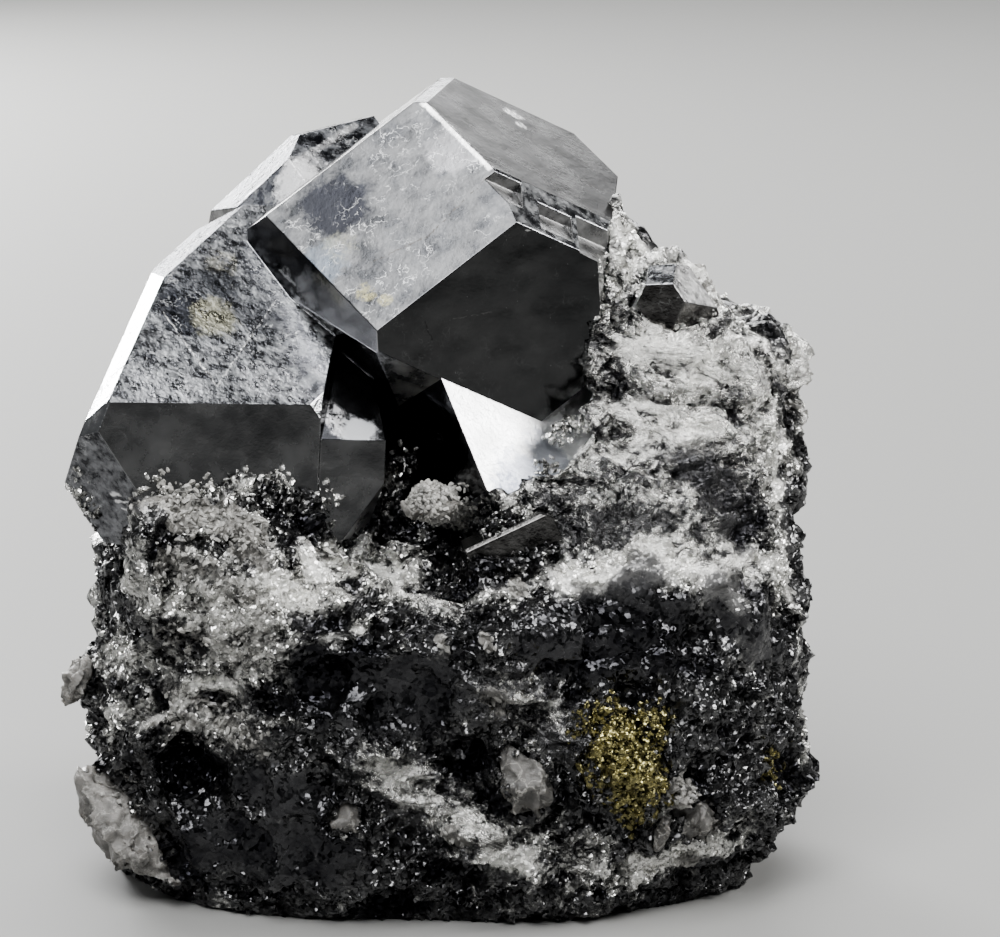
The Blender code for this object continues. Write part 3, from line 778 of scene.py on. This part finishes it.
def stroked(share, strokes, places, ragged, surface):
    # the share, raised towards 1 along the strokes, which have ragged edges
    for *line, radius, amount in strokes:
        ends = [np.array(pointSeen(pixel, surface)) for pixel in (line[:2], line[2:])]
        away = besideLine(places, *ends)[1]
        here = amount * np.clip(1.55 - away / (radius * (1 + 0.55 * ragged)), 0, 1)
        share = np.maximum(share, here)
    return share


def shoulderRise(places):
    # how much higher the ragged ridge behind the shoulder crystal stands
    start, end, radius, first, last = (np.array(value) for value in rockMaking["shoulder"])
    along, away = besideLine(places, start, end)
    return np.clip(1 - (away / radius) ** 2, 0, 1) * (first + (last - first) * along)


def raggedEdges(places, wide, narrow):
    # a noise of two widths, which frays the edges of strokes
    spots = [Vector(place) for place in places]
    return np.array([noise.noise(spot / wide) + 0.6 * noise.noise(spot / narrow) for spot in spots])


def highShare(places):
    # painted light: 0 on the lower rock, painted duller, 1 some way above it, painted lighter
    return np.clip((places[:, 2] - rockMaking["brightAbove"]) / rockMaking["brightFade"], 0, 1)


def paintPatches(mesh):
    making = rockMaking
    places = pointsOf(mesh)
    ragged = raggedEdges(places, *making["frayed"])
    slow = np.array([noise.noise(Vector(place) / making["slow"] + Vector((4, 1, 2))) for place in places])
    shares = {
        name: stroked(np.zeros(len(places)), strokes, places, ragged, rockSurface)
        for name, strokes in rockPatches.items()
    }
    # the sides and the back, which no stroke reaches, get the same kinds of patches from slow noise
    unseen = np.clip((places[:, 1] - making["strokesEnd"]) / making["strokesFade"], 0, 1)
    # painted light: the loose share grows with height, so the higher rock is painted lighter
    loose = 0.08 + 0.40 * highShare(places) + np.clip(slow * 1.1, -0.2, 0.8) * (0.28 + 0.9 * unseen)
    silverAndPaintedLight = np.maximum(shares["silverAndPaintedLight"], np.clip(loose, 0, 1))
    # the dark strokes, painted shade, take the silver out
    shares["silverAndPaintedLight"] = silverAndPaintedLight * (1 - 0.85 * shares["dark"])
    for name, share in {
        "pale": np.clip((np.roll(slow, 7) - 0.42) * 4, 0, 0.8),
        "layered": np.clip(slow * 3, 0, 1),
        "cleaved": np.clip(-slow * 3 - 0.3, 0, 1),
    }.items():
        shares[name] = np.maximum(shares[name], unseen * share)
    for name, share in shares.items():
        setLayer(mesh, name, share)
    return shares


def makeRock():
    making = rockMaking
    piece = newPiece("rock", mergedCopy("matrix"))
    mesh = remeshed(piece, making["voxel"])
    keepMainBody(mesh)
    shares = paintPatches(mesh)
    rises = shoulderRise(pointsOf(mesh))
    width, uneven = making["unevenRidge"]
    reliefs, moves = [], []
    for vert, layered, cleaved, rise in zip(mesh.vertices, shares["layered"], shares["cleaved"], rises):
        relief = rockRelief(vert.co / mm, layered, cleaved)
        touching = grownSurface.find_nearest(vert.co, making["meet"] * mm)[0]
        height = relief - making["sink"] if touching is None else making["close"]
        height *= min(1.0, max(0.0, vert.co.z / mm / making["baseFade"]))
        rise *= 1 + uneven * noise.noise(vert.co / mm / width)
        reliefs.append(relief)
        moves.append((vert.normal * height + Vector((0, 0, rise))) * mm)
    for vert, move in zip(mesh.vertices, moves):
        vert.co = insideBox(vert.co + move)
    # the relief height, which the finish also reads to paint shade into the hollows
    setLayer(mesh, "relief", reliefs)
    print("rock", len(mesh.polygons), "faces")
    return piece


# the rock's finish: sizes in mm, and colours from the darkest grains to the brightest
rockLook = {
    "facets": (0.62, 0.22), "clouds": 2.2, "grain": 0.35, "layers": 0.30, "torn": 0.75, "crumbs": 0.45,
    "bend": (2.2, 1.4),              # width and reach of the bends in the layers
    "dark": ((0.008, 0.008, 0.010), (0.11, 0.11, 0.112)),
    "silver": ((0.07, 0.07, 0.071), (1.0, 0.995, 0.955)),
    "flat": ((0.010, 0.010, 0.012), (0.045, 0.045, 0.048)),
    "crust": ((0.06, 0.059, 0.055), (0.30, 0.29, 0.27)),
}


def rockFinish():
    material, shader, place = newFinish("granular_metal")
    tree = place.tree
    look = rockLook
    layered, cleaved, paintedGleam = (attribute(tree, name) for name in ("layered", "cleaved", "paintedGleam"))
    (coarse, coarseGrey), (fine, fineGrey) = (place.splinters(size) for size in look["facets"])
    tone = coarseGrey * 0.20 + fineGrey * 0.12 + place.blotches(look["clouds"], detail=4.0, rough=0.65) * 0.6
    grain = place.blotches(look["grain"], detail=3.0, rough=0.7, seed=6.0)
    # painted shade: the low hollows of the relief make the tone darker
    tone = tone + grain * 0.5 + attribute(tree, "relief") * 0.35
    bright = tone.fade(0.44, 0.80)
    # fine wavy layers, slow along and quick across
    size, reach = look["bend"]
    wavy = place + place.wander(size, detail=2.0) * reach
    across = tuple(Vector(rockMaking["layerSlope"]).normalized())
    slower = rockMaking["layerLength"]
    level = wavy.measure("DOT_PRODUCT", across) * (1 - slower)
    banded = wavy * slower + stretched(tree, across, level)
    layers = banded.blotches(look["layers"], detail=4.0, rough=0.74)
    # the layers are painted lighter on the ridges of their relief and darker between: painted highlight and
    # shade
    bright = bright.join("ADD", (layers - 0.53) * 4.4 * layered, clamp=True)
    # painted highlight: the gleam strokes lighten the rock along its layers
    bright = bright.join("ADD", paintedGleam * layers.fade(0.40, 0.56, -0.05, 1.8), clamp=True)
    # the painted patches break up into crumbs at their edges
    torn = (place.blotches(look["torn"], detail=5.0, rough=0.75, seed=12.0) - 0.5) * 2.4
    # silver where the rock is silver and where it is painted light
    silverAndPaintedLight = (attribute(tree, "silverAndPaintedLight") + torn).fade(0.26, 0.62)
    metal = silverAndPaintedLight.blend(bright.blend(*look["dark"]), bright.blend(*look["silver"]))
    # the cleavage patches are coloured near black: painted shade on real cleavage steps
    metal = cleaved.fade(0.3, 0.8, 0.0, 0.92).blend(metal, bright.blend(*look["flat"]))
    crumbs = place.blotches(look["crumbs"], detail=4.0, rough=0.75, seed=3.0)
    pale = (attribute(tree, "pale") + crumbs * 0.9).fade(0.88, 1.06)
    metallic = (silverAndPaintedLight * bright).fade(0.1, 0.9, 0.97, 0.72) * pale.fade(0.0, 1.0, 1.0, 0.0)
    fill(shader, {
        "Base Color": pale.blend(metal, crumbs.fade(0.3, 0.7).blend(*look["crust"])),
        "Roughness": pale.mix(fineGrey.fade(0.0, 1.0, 0.10, 0.34), 0.55),
        # the painted gleam is less metallic, so that it stays light from every side
        "Metallic": metallic * paintedGleam.fade(0.2, 1.0, 1.0, 0.38),
    })
    height = coarse * 1.6 + fine * 2.1
    height = layered.mix(height, layers * 0.9 + height * 0.7)
    # flat cleavage faces keep little of the fine relief
    height = height * cleaved.fade(0.2, 0.8, 1.0, 0.25) * paintedGleam.fade(0.2, 0.9, 1.0, 0.7)
    addRelief(shader, height, 1.0)
    return material


rock = makeRock()
rockMetal = rockFinish()
dress(rock, [rockMetal], "massive_skutterudite", "matrix")
print("rock made")

# grains and small crystals that grow on the rock: the closed shapes they are made of
grainMaking = {
    "rings": ((-0.5, 0.42), (0.15, 0.5), (0.5, 0.16)),   # level and radius, in a grain's width
    "sides": 5, "height": 0.9, "twist": 0.37, "ragged": 0.9,
    "lean": 3.1,                    # radians: how far a grain may tip over
    "shapes": 4, "seedStep": 5.7,   # how many shapes each kind has, and what sets them apart
}


def lump(name, kind, number):
    # a small closed crystal: the hull of three uneven rings, about one unit wide
    seed = kind["seed"] + number * kind["seedStep"]
    bm = bmesh.new()
    for ring, (height, reach) in enumerate(kind["rings"]):
        for side in range(kind["sides"]):
            angle = math.tau * (side + kind["twist"] * ring) / kind["sides"]
            swing = 1 + kind["ragged"] * noise.noise(Vector((seed, ring * 2.3, side * 1.7)))
            level = height * kind["height"] * swing
            bm.verts.new((reach * swing * math.cos(angle), reach * swing * math.sin(angle), level))
    bmesh.ops.convex_hull(bm, input=bm.verts)
    loose = [vert for vert in bm.verts if not vert.link_faces]
    bmesh.ops.delete(bm, geom=loose, context="VERTS")
    bmesh.ops.recalc_face_normals(bm, faces=bm.faces)
    return newPiece(name, bm)


def scatterTree():
    # grains of the given shapes on a carrier's faces, thickest where the named attribute is highest
    tree = bpy.data.node_groups.new("scatter", "GeometryNodeTree")
    sockets = {
        "Carrier": "Geometry", "Shapes": "Collection", "Finish": "Material", "Where": "String",
        "Grains per square mm": "Float", "Seed": "Int", "Smallest": "Float", "Largest": "Float",
        "Lean": "Float", "Threshold": "Float",
    }
    for name, kind in sockets.items():
        tree.interface.new_socket(name, in_out="INPUT", socket_type="NodeSocket" + kind)
    tree.interface.new_socket("Grains", in_out="OUTPUT", socket_type="NodeSocketGeometry")
    given = put(tree, "NodeGroupInput").outputs
    here = put(tree, "GeometryNodeInputNamedAttribute", {"Name": given["Where"]}, data_type="FLOAT")
    over = Value(tree, here.outputs["Attribute"]).join("SUBTRACT", given["Threshold"], clamp=True)
    perArea = Value(tree, given["Grains per square mm"]) * (1 / mm ** 2)
    points = put(tree, "GeometryNodeDistributePointsOnFaces", {
        "Mesh": given["Carrier"], "Density": over * perArea, "Seed": given["Seed"],
    })
    spin = stretched(tree, (1, 1, 0.0), given["Lean"]) + (0, 0, math.pi)
    turn = put(tree, "FunctionNodeRandomValue", {
        0: spin * -1.0, 1: spin, "Seed": given["Seed"],
    }, data_type="FLOAT_VECTOR")
    asRotation = put(tree, "FunctionNodeEulerToRotation", {"Euler": turn.outputs[0]})
    rotation = put(tree, "FunctionNodeRotateRotation", {
        "Rotation": points.outputs["Rotation"], "Rotate By": asRotation.outputs[0],
    }, rotation_space="LOCAL")
    size = put(tree, "FunctionNodeRandomValue", {
        2: given["Smallest"], 3: given["Largest"], "Seed": given["Seed"],
    }, data_type="FLOAT")
    shapes = put(tree, "GeometryNodeCollectionInfo", {
        "Collection": given["Shapes"], "Separate Children": True, "Reset Children": True,
    })
    grains = put(tree, "GeometryNodeInstanceOnPoints", {
        "Points": points.outputs["Points"], "Instance": shapes.outputs[0], "Pick Instance": True,
        "Rotation": rotation.outputs[0], "Scale": size.outputs[1],
    })
    real = put(tree, "GeometryNodeRealizeInstances", {"Geometry": grains.outputs[0]})
    dressed = put(tree, "GeometryNodeSetMaterial", {"Geometry": real.outputs[0], "Material": given["Finish"]})
    put(tree, "NodeGroupOutput", {0: dressed.outputs[0]})
    return tree


# which grains grow where: the layer they follow and the least of it that carries grains, how many per square
# mm, and their size in mm; anything else comes from grainMaking
grainKinds = {
    "bright_grains": {"where": "glitter", "least": 0.38, "density": 12.0, "size": (0.10, 0.40), "seed": 11},
    "dull_grains": {"where": "dull", "least": 0.25, "density": 2.6, "size": (0.18, 0.55), "seed": 23},
    "pale_crust": {
        "where": "pale", "least": 0.30, "density": 19.0, "size": (0.10, 0.32), "seed": 37,
        "height": 1.4, "lean": 1.3,
    },
    "brass_grains": {
        "where": "brassy", "least": 0.25, "density": 24.0, "size": (0.12, 0.42), "seed": 53, "sides": 6,
    },
    "creeping_grains": {"where": "creep", "least": 0.15, "density": 22.0, "size": (0.12, 0.44), "seed": 61},
    "creeping_brass": {
        "where": "brasscreep", "least": 0.2, "density": 30.0, "size": (0.12, 0.40), "seed": 83, "sides": 6,
    },
    "creeping_crust": {
        "where": "palecreep", "least": 0.2, "density": 34.0, "size": (0.10, 0.30), "seed": 71,
        "height": 1.2, "lean": 1.8,
    },
}


def scatterGrains(name, carrier, finish, slotName, tree):
    kind = {**grainMaking, **grainKinds[name]}
    shapes = bpy.data.collections.new(name + "_shapes")
    models = [lump(name + "_shape", kind, number) for number in range(kind["shapes"])]
    for model in models:
        bpy.context.scene.collection.objects.unlink(model)
        shapes.objects.link(model)
    piece = bpy.data.objects.new(name, carrier.data.copy())
    piece.data.materials.clear()
    bpy.context.scene.collection.objects.link(piece)
    modifier = piece.modifiers.new("scatter", "NODES")
    modifier.node_group = tree
    values = {
        "Shapes": shapes, "Finish": finish, "Where": kind["where"], "Grains per square mm": kind["density"],
        "Seed": kind["seed"], "Smallest": kind["size"][0] * mm, "Largest": kind["size"][1] * mm,
        "Lean": kind["lean"], "Threshold": kind["least"],
    }
    for item in tree.interface.items_tree:
        if item.name in values:
            modifier[item.identifier] = values[item.name]
    piece.update_tag()
    mesh = plainMesh(piece)
    mesh.vertices.foreach_set("co", np.clip(coordinates(mesh), cadLow, cadHigh).ravel())
    for model in models:
        bpy.data.objects.remove(model)
    bpy.data.collections.remove(shapes)
    dress(piece, (), slotName, "matrix")
    print(name, sum(len(face.vertices) - 2 for face in mesh.polygons), "triangles")


# the pale crust: cloud size in mm, and its darkest and palest colour
crustLook = {"clouds": 0.8, "colours": ((0.08, 0.08, 0.077), (0.50, 0.49, 0.46)), "grain": 0.15}


def crustFinish():
    material, shader, place = newFinish("pale_crust")
    cloud = place.blotches(crustLook["clouds"], detail=5.0, rough=0.65)
    fill(shader, {
        "Base Color": cloud.fade(0.35, 0.65).blend(*crustLook["colours"]),
        "Roughness": cloud.fade(0.3, 0.7, 0.18, 0.45),
    })
    addRelief(shader, place.blotches(crustLook["grain"], detail=3.0, rough=0.6), 0.15)
    return material


# strokes of crumbs on the crystals and masses themselves, as on the rock
creepPatches = {
    "creep": [
        (80, 500, 112, 552, 1.0, 1.0), (70, 452, 84, 470, 0.35, 0.6), (150, 482, 156, 500, 0.35, 0.8),
        (205, 490, 216, 502, 0.35, 0.8), (240, 492, 246, 505, 0.35, 0.9), (276, 480, 290, 520, 0.55, 1.0),
        (322, 500, 372, 530, 0.55, 0.8), (560, 434, 598, 420, 0.6, 1.0), (548, 470, 560, 500, 0.7, 0.9),
        (600, 262, 603, 400, 0.22, 0.8), (606, 500, 612, 505, 0.4, 0.8), (594, 772, 606, 806, 0.6, 0.9),
        (497, 752, 512, 800, 0.3, 0.8), (546, 770, 550, 810, 0.3, 0.8), (505, 742, 520, 745, 0.35, 0.7),
        (648, 846, 664, 848, 0.35, 0.8), (684, 836, 712, 834, 0.35, 0.8), (332, 836, 358, 838, 0.35, 0.7),
        (648, 792, 654, 812, 0.25, 0.7),
    ],
    "brasscreep": [
        (600, 735, 660, 735, 0.9, 1.0), (618, 760, 650, 790, 0.9, 1.0), (625, 800, 635, 815, 0.5, 1.0),
    ],
    "palecreep": [
        (425, 495, 465, 522, 1.3, 1.0), (180, 494, 235, 502, 0.6, 1.0), (160, 470, 165, 500, 0.28, 0.9),
        (206, 480, 212, 500, 0.22, 0.8), (232, 496, 246, 484, 0.2, 0.7), (100, 790, 118, 800, 0.3, 0.4),
    ],
}

# the skin that carries the creeping crumbs, in mm: its cells, how far from the rock crumbs lie, how much free
# space they need above them, and the widths of the noise that frays the strokes
carrierMaking = {"voxel": 0.33, "rim": 0.85, "clear": 1.5, "frayed": (0.8, 0.3)}


def makeCarrier():
    # one skin over everything that grows from the rock, painted where crumbs lie on it
    making = carrierMaking
    carrier = newPiece("carrier", mergedCopy(*grownNodes))
    mesh = remeshed(carrier, making["voxel"])
    places = pointsOf(mesh)
    ragged = raggedEdges(places, *making["frayed"])
    reach = making["rim"] * mm
    rim = np.zeros(len(places))
    for number, vert in enumerate(mesh.vertices):
        away = rockSurface.find_nearest(vert.co, reach)[3]
        exposed = rockSurface.ray_cast(vert.co, vert.normal, making["clear"] * mm)[0] is None
        if away is not None and exposed:
            rim[number] = 1 - away / reach
    for name, strokes in creepPatches.items():
        share = np.clip(rim * 1.7 + ragged * 0.9 - 0.55, 0, 1) * (rim > 0) * (name == "creep")
        setLayer(mesh, name, stroked(share, strokes, places, ragged, grownSurface))
    # the rock's finish reads its own patches on the crumbs too, painted lighter higher up as painted light
    setLayer(mesh, "silverAndPaintedLight", 0.10 + 0.55 * highShare(places) + 0.25 * np.clip(ragged, -1, 1))
    return carrier


def makeGrains(brass):
    silverAndPaintedLight, cleaved, layered = (layerOf(rock.data, name) for name in ("silverAndPaintedLight", "cleaved", "layered"))
    setLayer(rock.data, "glitter", silverAndPaintedLight * (1 - 0.7 * layered) * (1 - 0.6 * cleaved))
    setLayer(rock.data, "dull", np.clip(0.75 - silverAndPaintedLight - 2.0 * cleaved - 0.6 * layered, 0, 1))
    tree = scatterTree()
    carrier = makeCarrier()
    crust = crustFinish()
    for name, on, finish, slotName in (
        ("bright_grains", rock, rockMetal, "massive_skutterudite"),
        ("dull_grains", rock, rockMetal, "massive_skutterudite"),
        ("pale_crust", rock, crust, "calcite_white"),
        ("brass_grains", rock, brass, "brassy_chalcopyrite"),
        ("creeping_grains", carrier, rockMetal, "massive_skutterudite"),
        ("creeping_crust", carrier, crust, "calcite_white"),
        ("creeping_brass", carrier, brass, "brassy_chalcopyrite"),
    ):
        scatterGrains(name, on, finish, slotName, tree)
    bpy.data.objects.remove(carrier)


# calcite and chalcopyrite masses: sizes in mm
massLooks = {
    "calcite": {
        "clouds": 1.3, "colours": ((0.10, 0.097, 0.09), (0.27, 0.26, 0.245)), "steps": 0.6, "grain": 0.2,
        "veins": (1.5, (0.46, 0.45, 0.42)), "dust": (0.5, (0.08, 0.077, 0.07)),
        "glow": 0.3, "glowColour": (1.0, 0.9, 0.8), "glowDepth": 0.6,
    },
    "chalcopyrite": {
        "clouds": 0.9, "colours": ((0.016, 0.014, 0.005), (0.48, 0.43, 0.18)), "facets": (0.34, 0.15),
        "metallic": 0.95,
    },
}


def calciteFinish(name, shade):
    material, shader, place = newFinish(name)
    look = massLooks["calcite"]
    cloud = place.blotches(look["clouds"], detail=6.0, rough=0.65)
    base = cloud.fade(0.36, 0.64).blend(*([part * shade for part in colour] for colour in look["colours"]))
    # thin veins where a noise crosses its middle
    size, colour = look["veins"]
    vein = abs(place.blotches(size, detail=4.0, rough=0.6, seed=5.0) - 0.5).fade(0.0, 0.02, 1.0, 0.0)
    base = (vein * 0.6).blend(base, colour)
    size, colour = look["dust"]
    dust = place.blotches(size, detail=4.0, rough=0.7, seed=7.0).fade(0.60, 0.70)
    base = (dust * 0.7).blend(base, colour)
    fill(shader, {
        "Base Color": base, "Roughness": cloud.fade(0.3, 0.7, 0.22, 0.5), "Subsurface Weight": look["glow"],
        "Subsurface Radius": look["glowColour"], "Subsurface Scale": look["glowDepth"] * mm,
    })
    steps = place.splinters(look["steps"])[0]
    addRelief(shader, steps * 0.5 + place.blotches(look["grain"], detail=4.0, rough=0.65) * 0.12, 0.7)
    return material


def brassyFinish():
    material, shader, place = newFinish("brassy_grains")
    look = massLooks["chalcopyrite"]
    (coarse, grey), (fine, fineGrey) = (place.splinters(size) for size in look["facets"])
    tone = grey * 0.35 + place.blotches(look["clouds"], detail=5.0, rough=0.65) * 0.9 + fineGrey * 0.25
    fill(shader, {
        "Base Color": tone.fade(0.50, 1.0).blend(*look["colours"]),
        "Roughness": fineGrey.fade(0.0, 1.0, 0.12, 0.4), "Metallic": look["metallic"],
    })
    addRelief(shader, coarse * 1.4 + fine * 1.3, 1.0)
    return material


massMaking = {
    "calcite": {
        "voxel": 0.16, "slot": "calcite_white", "steps": (1.7, 0.8, 0.4), "sink": 0.12,
        "facets": ((1.7, 0.34), (0.8, 0.16)), "crumbs": ((0.9, 0.08),),
    },
    "chalcopyrite": {
        "voxel": 0.13, "slot": "brassy_chalcopyrite", "steps": (), "sink": 0.0,
        "facets": (), "crumbs": ((0.9, 0.50), (0.42, 0.32)),
    },
    "stepShare": 0.55,              # a cleavage step is at most this share of the mass's thinnest side
    "stepDepth": 0.85,              # how much of the way to the cleavage plane the skin moves
    # the masses that take the darker copy of the calcite finish, as painted shade
    "shadedCalcite": ("calcite_front", "calcite_lower_right", "calcite_sliver", "calcite_low"),
}
# the three cleavage directions of calcite, before each mass turns them its own way
cleavages = ((0.0, 0.0, 1.0), (0.97, 0.0, 0.26), (-0.30, 0.93, 0.20))


def cleavedMove(point, normal, step, turn):
    # towards the nearest of evenly spaced planes, along the cleavage that faces most like the surface
    move = Vector((0, 0, 0))
    for direction in cleavages:
        plane = (turn @ Vector(direction)).normalized()
        level = point.dot(plane) / step
        share = abs(normal.dot(plane)) ** 6
        move += plane * (round(level) - level) * step * share
    return move


def cleave(mesh, step, turn, number):
    normals = [vert.normal.copy() for vert in mesh.vertices]
    for vert, normal in zip(mesh.vertices, normals):
        point = vert.co / mm
        point += noise.noise_vector(point / 1.2 + Vector((number, 2, 4))) * 0.25
        vert.co += cleavedMove(point, normal, step, turn) * massMaking["stepDepth"] * mm
    mesh.update()


def makeMasses():
    looks = {"calcite": calciteFinish("waxy_calcite", 1.0), "chalcopyrite": brassyFinish()}
    # painted shade: a darker copy of the same calcite finish for the front masses
    shadedCalcite = calciteFinish("shaded_calcite", 0.5)
    for number, nodeName in enumerate(grownNodes):
        mineral = nodeName.split("_")[0]
        if mineral not in massMaking:
            continue
        making = massMaking[mineral]
        turn = Euler((0.7 * number, 1.3 * number, 0.4)).to_matrix()
        piece = newPiece(nodeName + "_mass", mergedCopy(nodeName))
        mesh = remeshed(piece, making["voxel"])
        thinnest = min(np.ptp(pointsOf(mesh), axis=0))
        for step in making["steps"]:
            if step <= thinnest * massMaking["stepShare"]:
                cleave(mesh, step, turn, number)
        normals = [vert.normal.copy() for vert in mesh.vertices]
        for vert, normal in zip(mesh.vertices, normals):
            point = vert.co / mm
            height = -making["sink"]
            for size, rise in making["facets"]:
                height += facetHeight(point / size + Vector((number, 3, 1)), rise, Vector((2, number, 5)))
            for size, rise in making["crumbs"]:
                height += rise * (0.40 - noise.voronoi(point / size + Vector((5.5, 2.2, 1.1)))[0][0])
            vert.co = insideBox(vert.co + normal * height * mm)
        finish = shadedCalcite if nodeName in massMaking["shadedCalcite"] else looks[mineral]
        dress(piece, [finish], making["slot"], nodeName)
    print("calcite and chalcopyrite made")
    return looks["chalcopyrite"]


brass = makeMasses()
makeGrains(brass)
print("grains made")

# floor, lights, world; lengths in mm
stageMaking = {
    "floorSize": 900.0, "floorColour": (0.25, 0.25, 0.244), "floorRoughness": 0.7,
    "world": (0.06, 0.062, 0.064), "lightsAim": (0, 0, 22),
}
# lights: where they come from (azimuth from the front towards +X, elevation), distance, size, power, tint
lights = {
    "overhead": ((-20, 74), 240, (130, 130), 0.68, (1.0, 1.0, 1.0)),
    "front": ((-12, 50), 270, (180, 80), 0.72, (1.0, 1.0, 1.0)),
    "right": ((92, 33), 230, (90, 70), 0.60, (1.0, 0.99, 0.97)),
    "left": ((-82, 36), 240, (60, 50), 0.05, (0.97, 0.98, 1.0)),
    "behind": ((-175, 27), 280, (260, 120), 1.05, (1.0, 1.0, 1.0)),
    "backEdge": ((-156, 8), 260, (70, 40), 0.8, (1.0, 1.0, 1.0)),
}


def makeStage():
    bm = bmesh.new()
    bmesh.ops.create_grid(bm, x_segments=1, y_segments=1, size=stageMaking["floorSize"] / 2 * mm)
    floor = newPiece("floor", bm)
    material = bpy.data.materials.new("pale_floor")
    material.use_nodes = True
    fill(material.node_tree.nodes["Principled BSDF"], {
        "Base Color": (*stageMaking["floorColour"], 1.0), "Roughness": stageMaking["floorRoughness"],
    })
    floor.data.materials.append(material)
    world = bpy.data.worlds.new("studio")
    bpy.context.scene.world = world
    world.use_nodes = True
    fill(world.node_tree.nodes["Background"], {"Color": (*stageMaking["world"], 1.0)})
    target = Vector(stageMaking["lightsAim"]) * mm
    for name, ((azimuth, elevation), distance, size, power, tint) in lights.items():
        away = outwards(azimuth, elevation)
        lamp = bpy.data.lights.new(name, "AREA")
        lamp.shape = "RECTANGLE"
        lamp.size, lamp.size_y = size[0] * mm, size[1] * mm
        lamp.energy = power
        lamp.color = tint
        holder = bpy.data.objects.new(name, lamp)
        bpy.context.scene.collection.objects.link(holder)
        holder.location = target + away * distance * mm
        holder.rotation_euler = away.to_track_quat("Z", "Y").to_euler()


makeStage()
print("stage made")

print("cad box", [round(v / mm, 2) for v in (*cadLow, *cadHigh)])
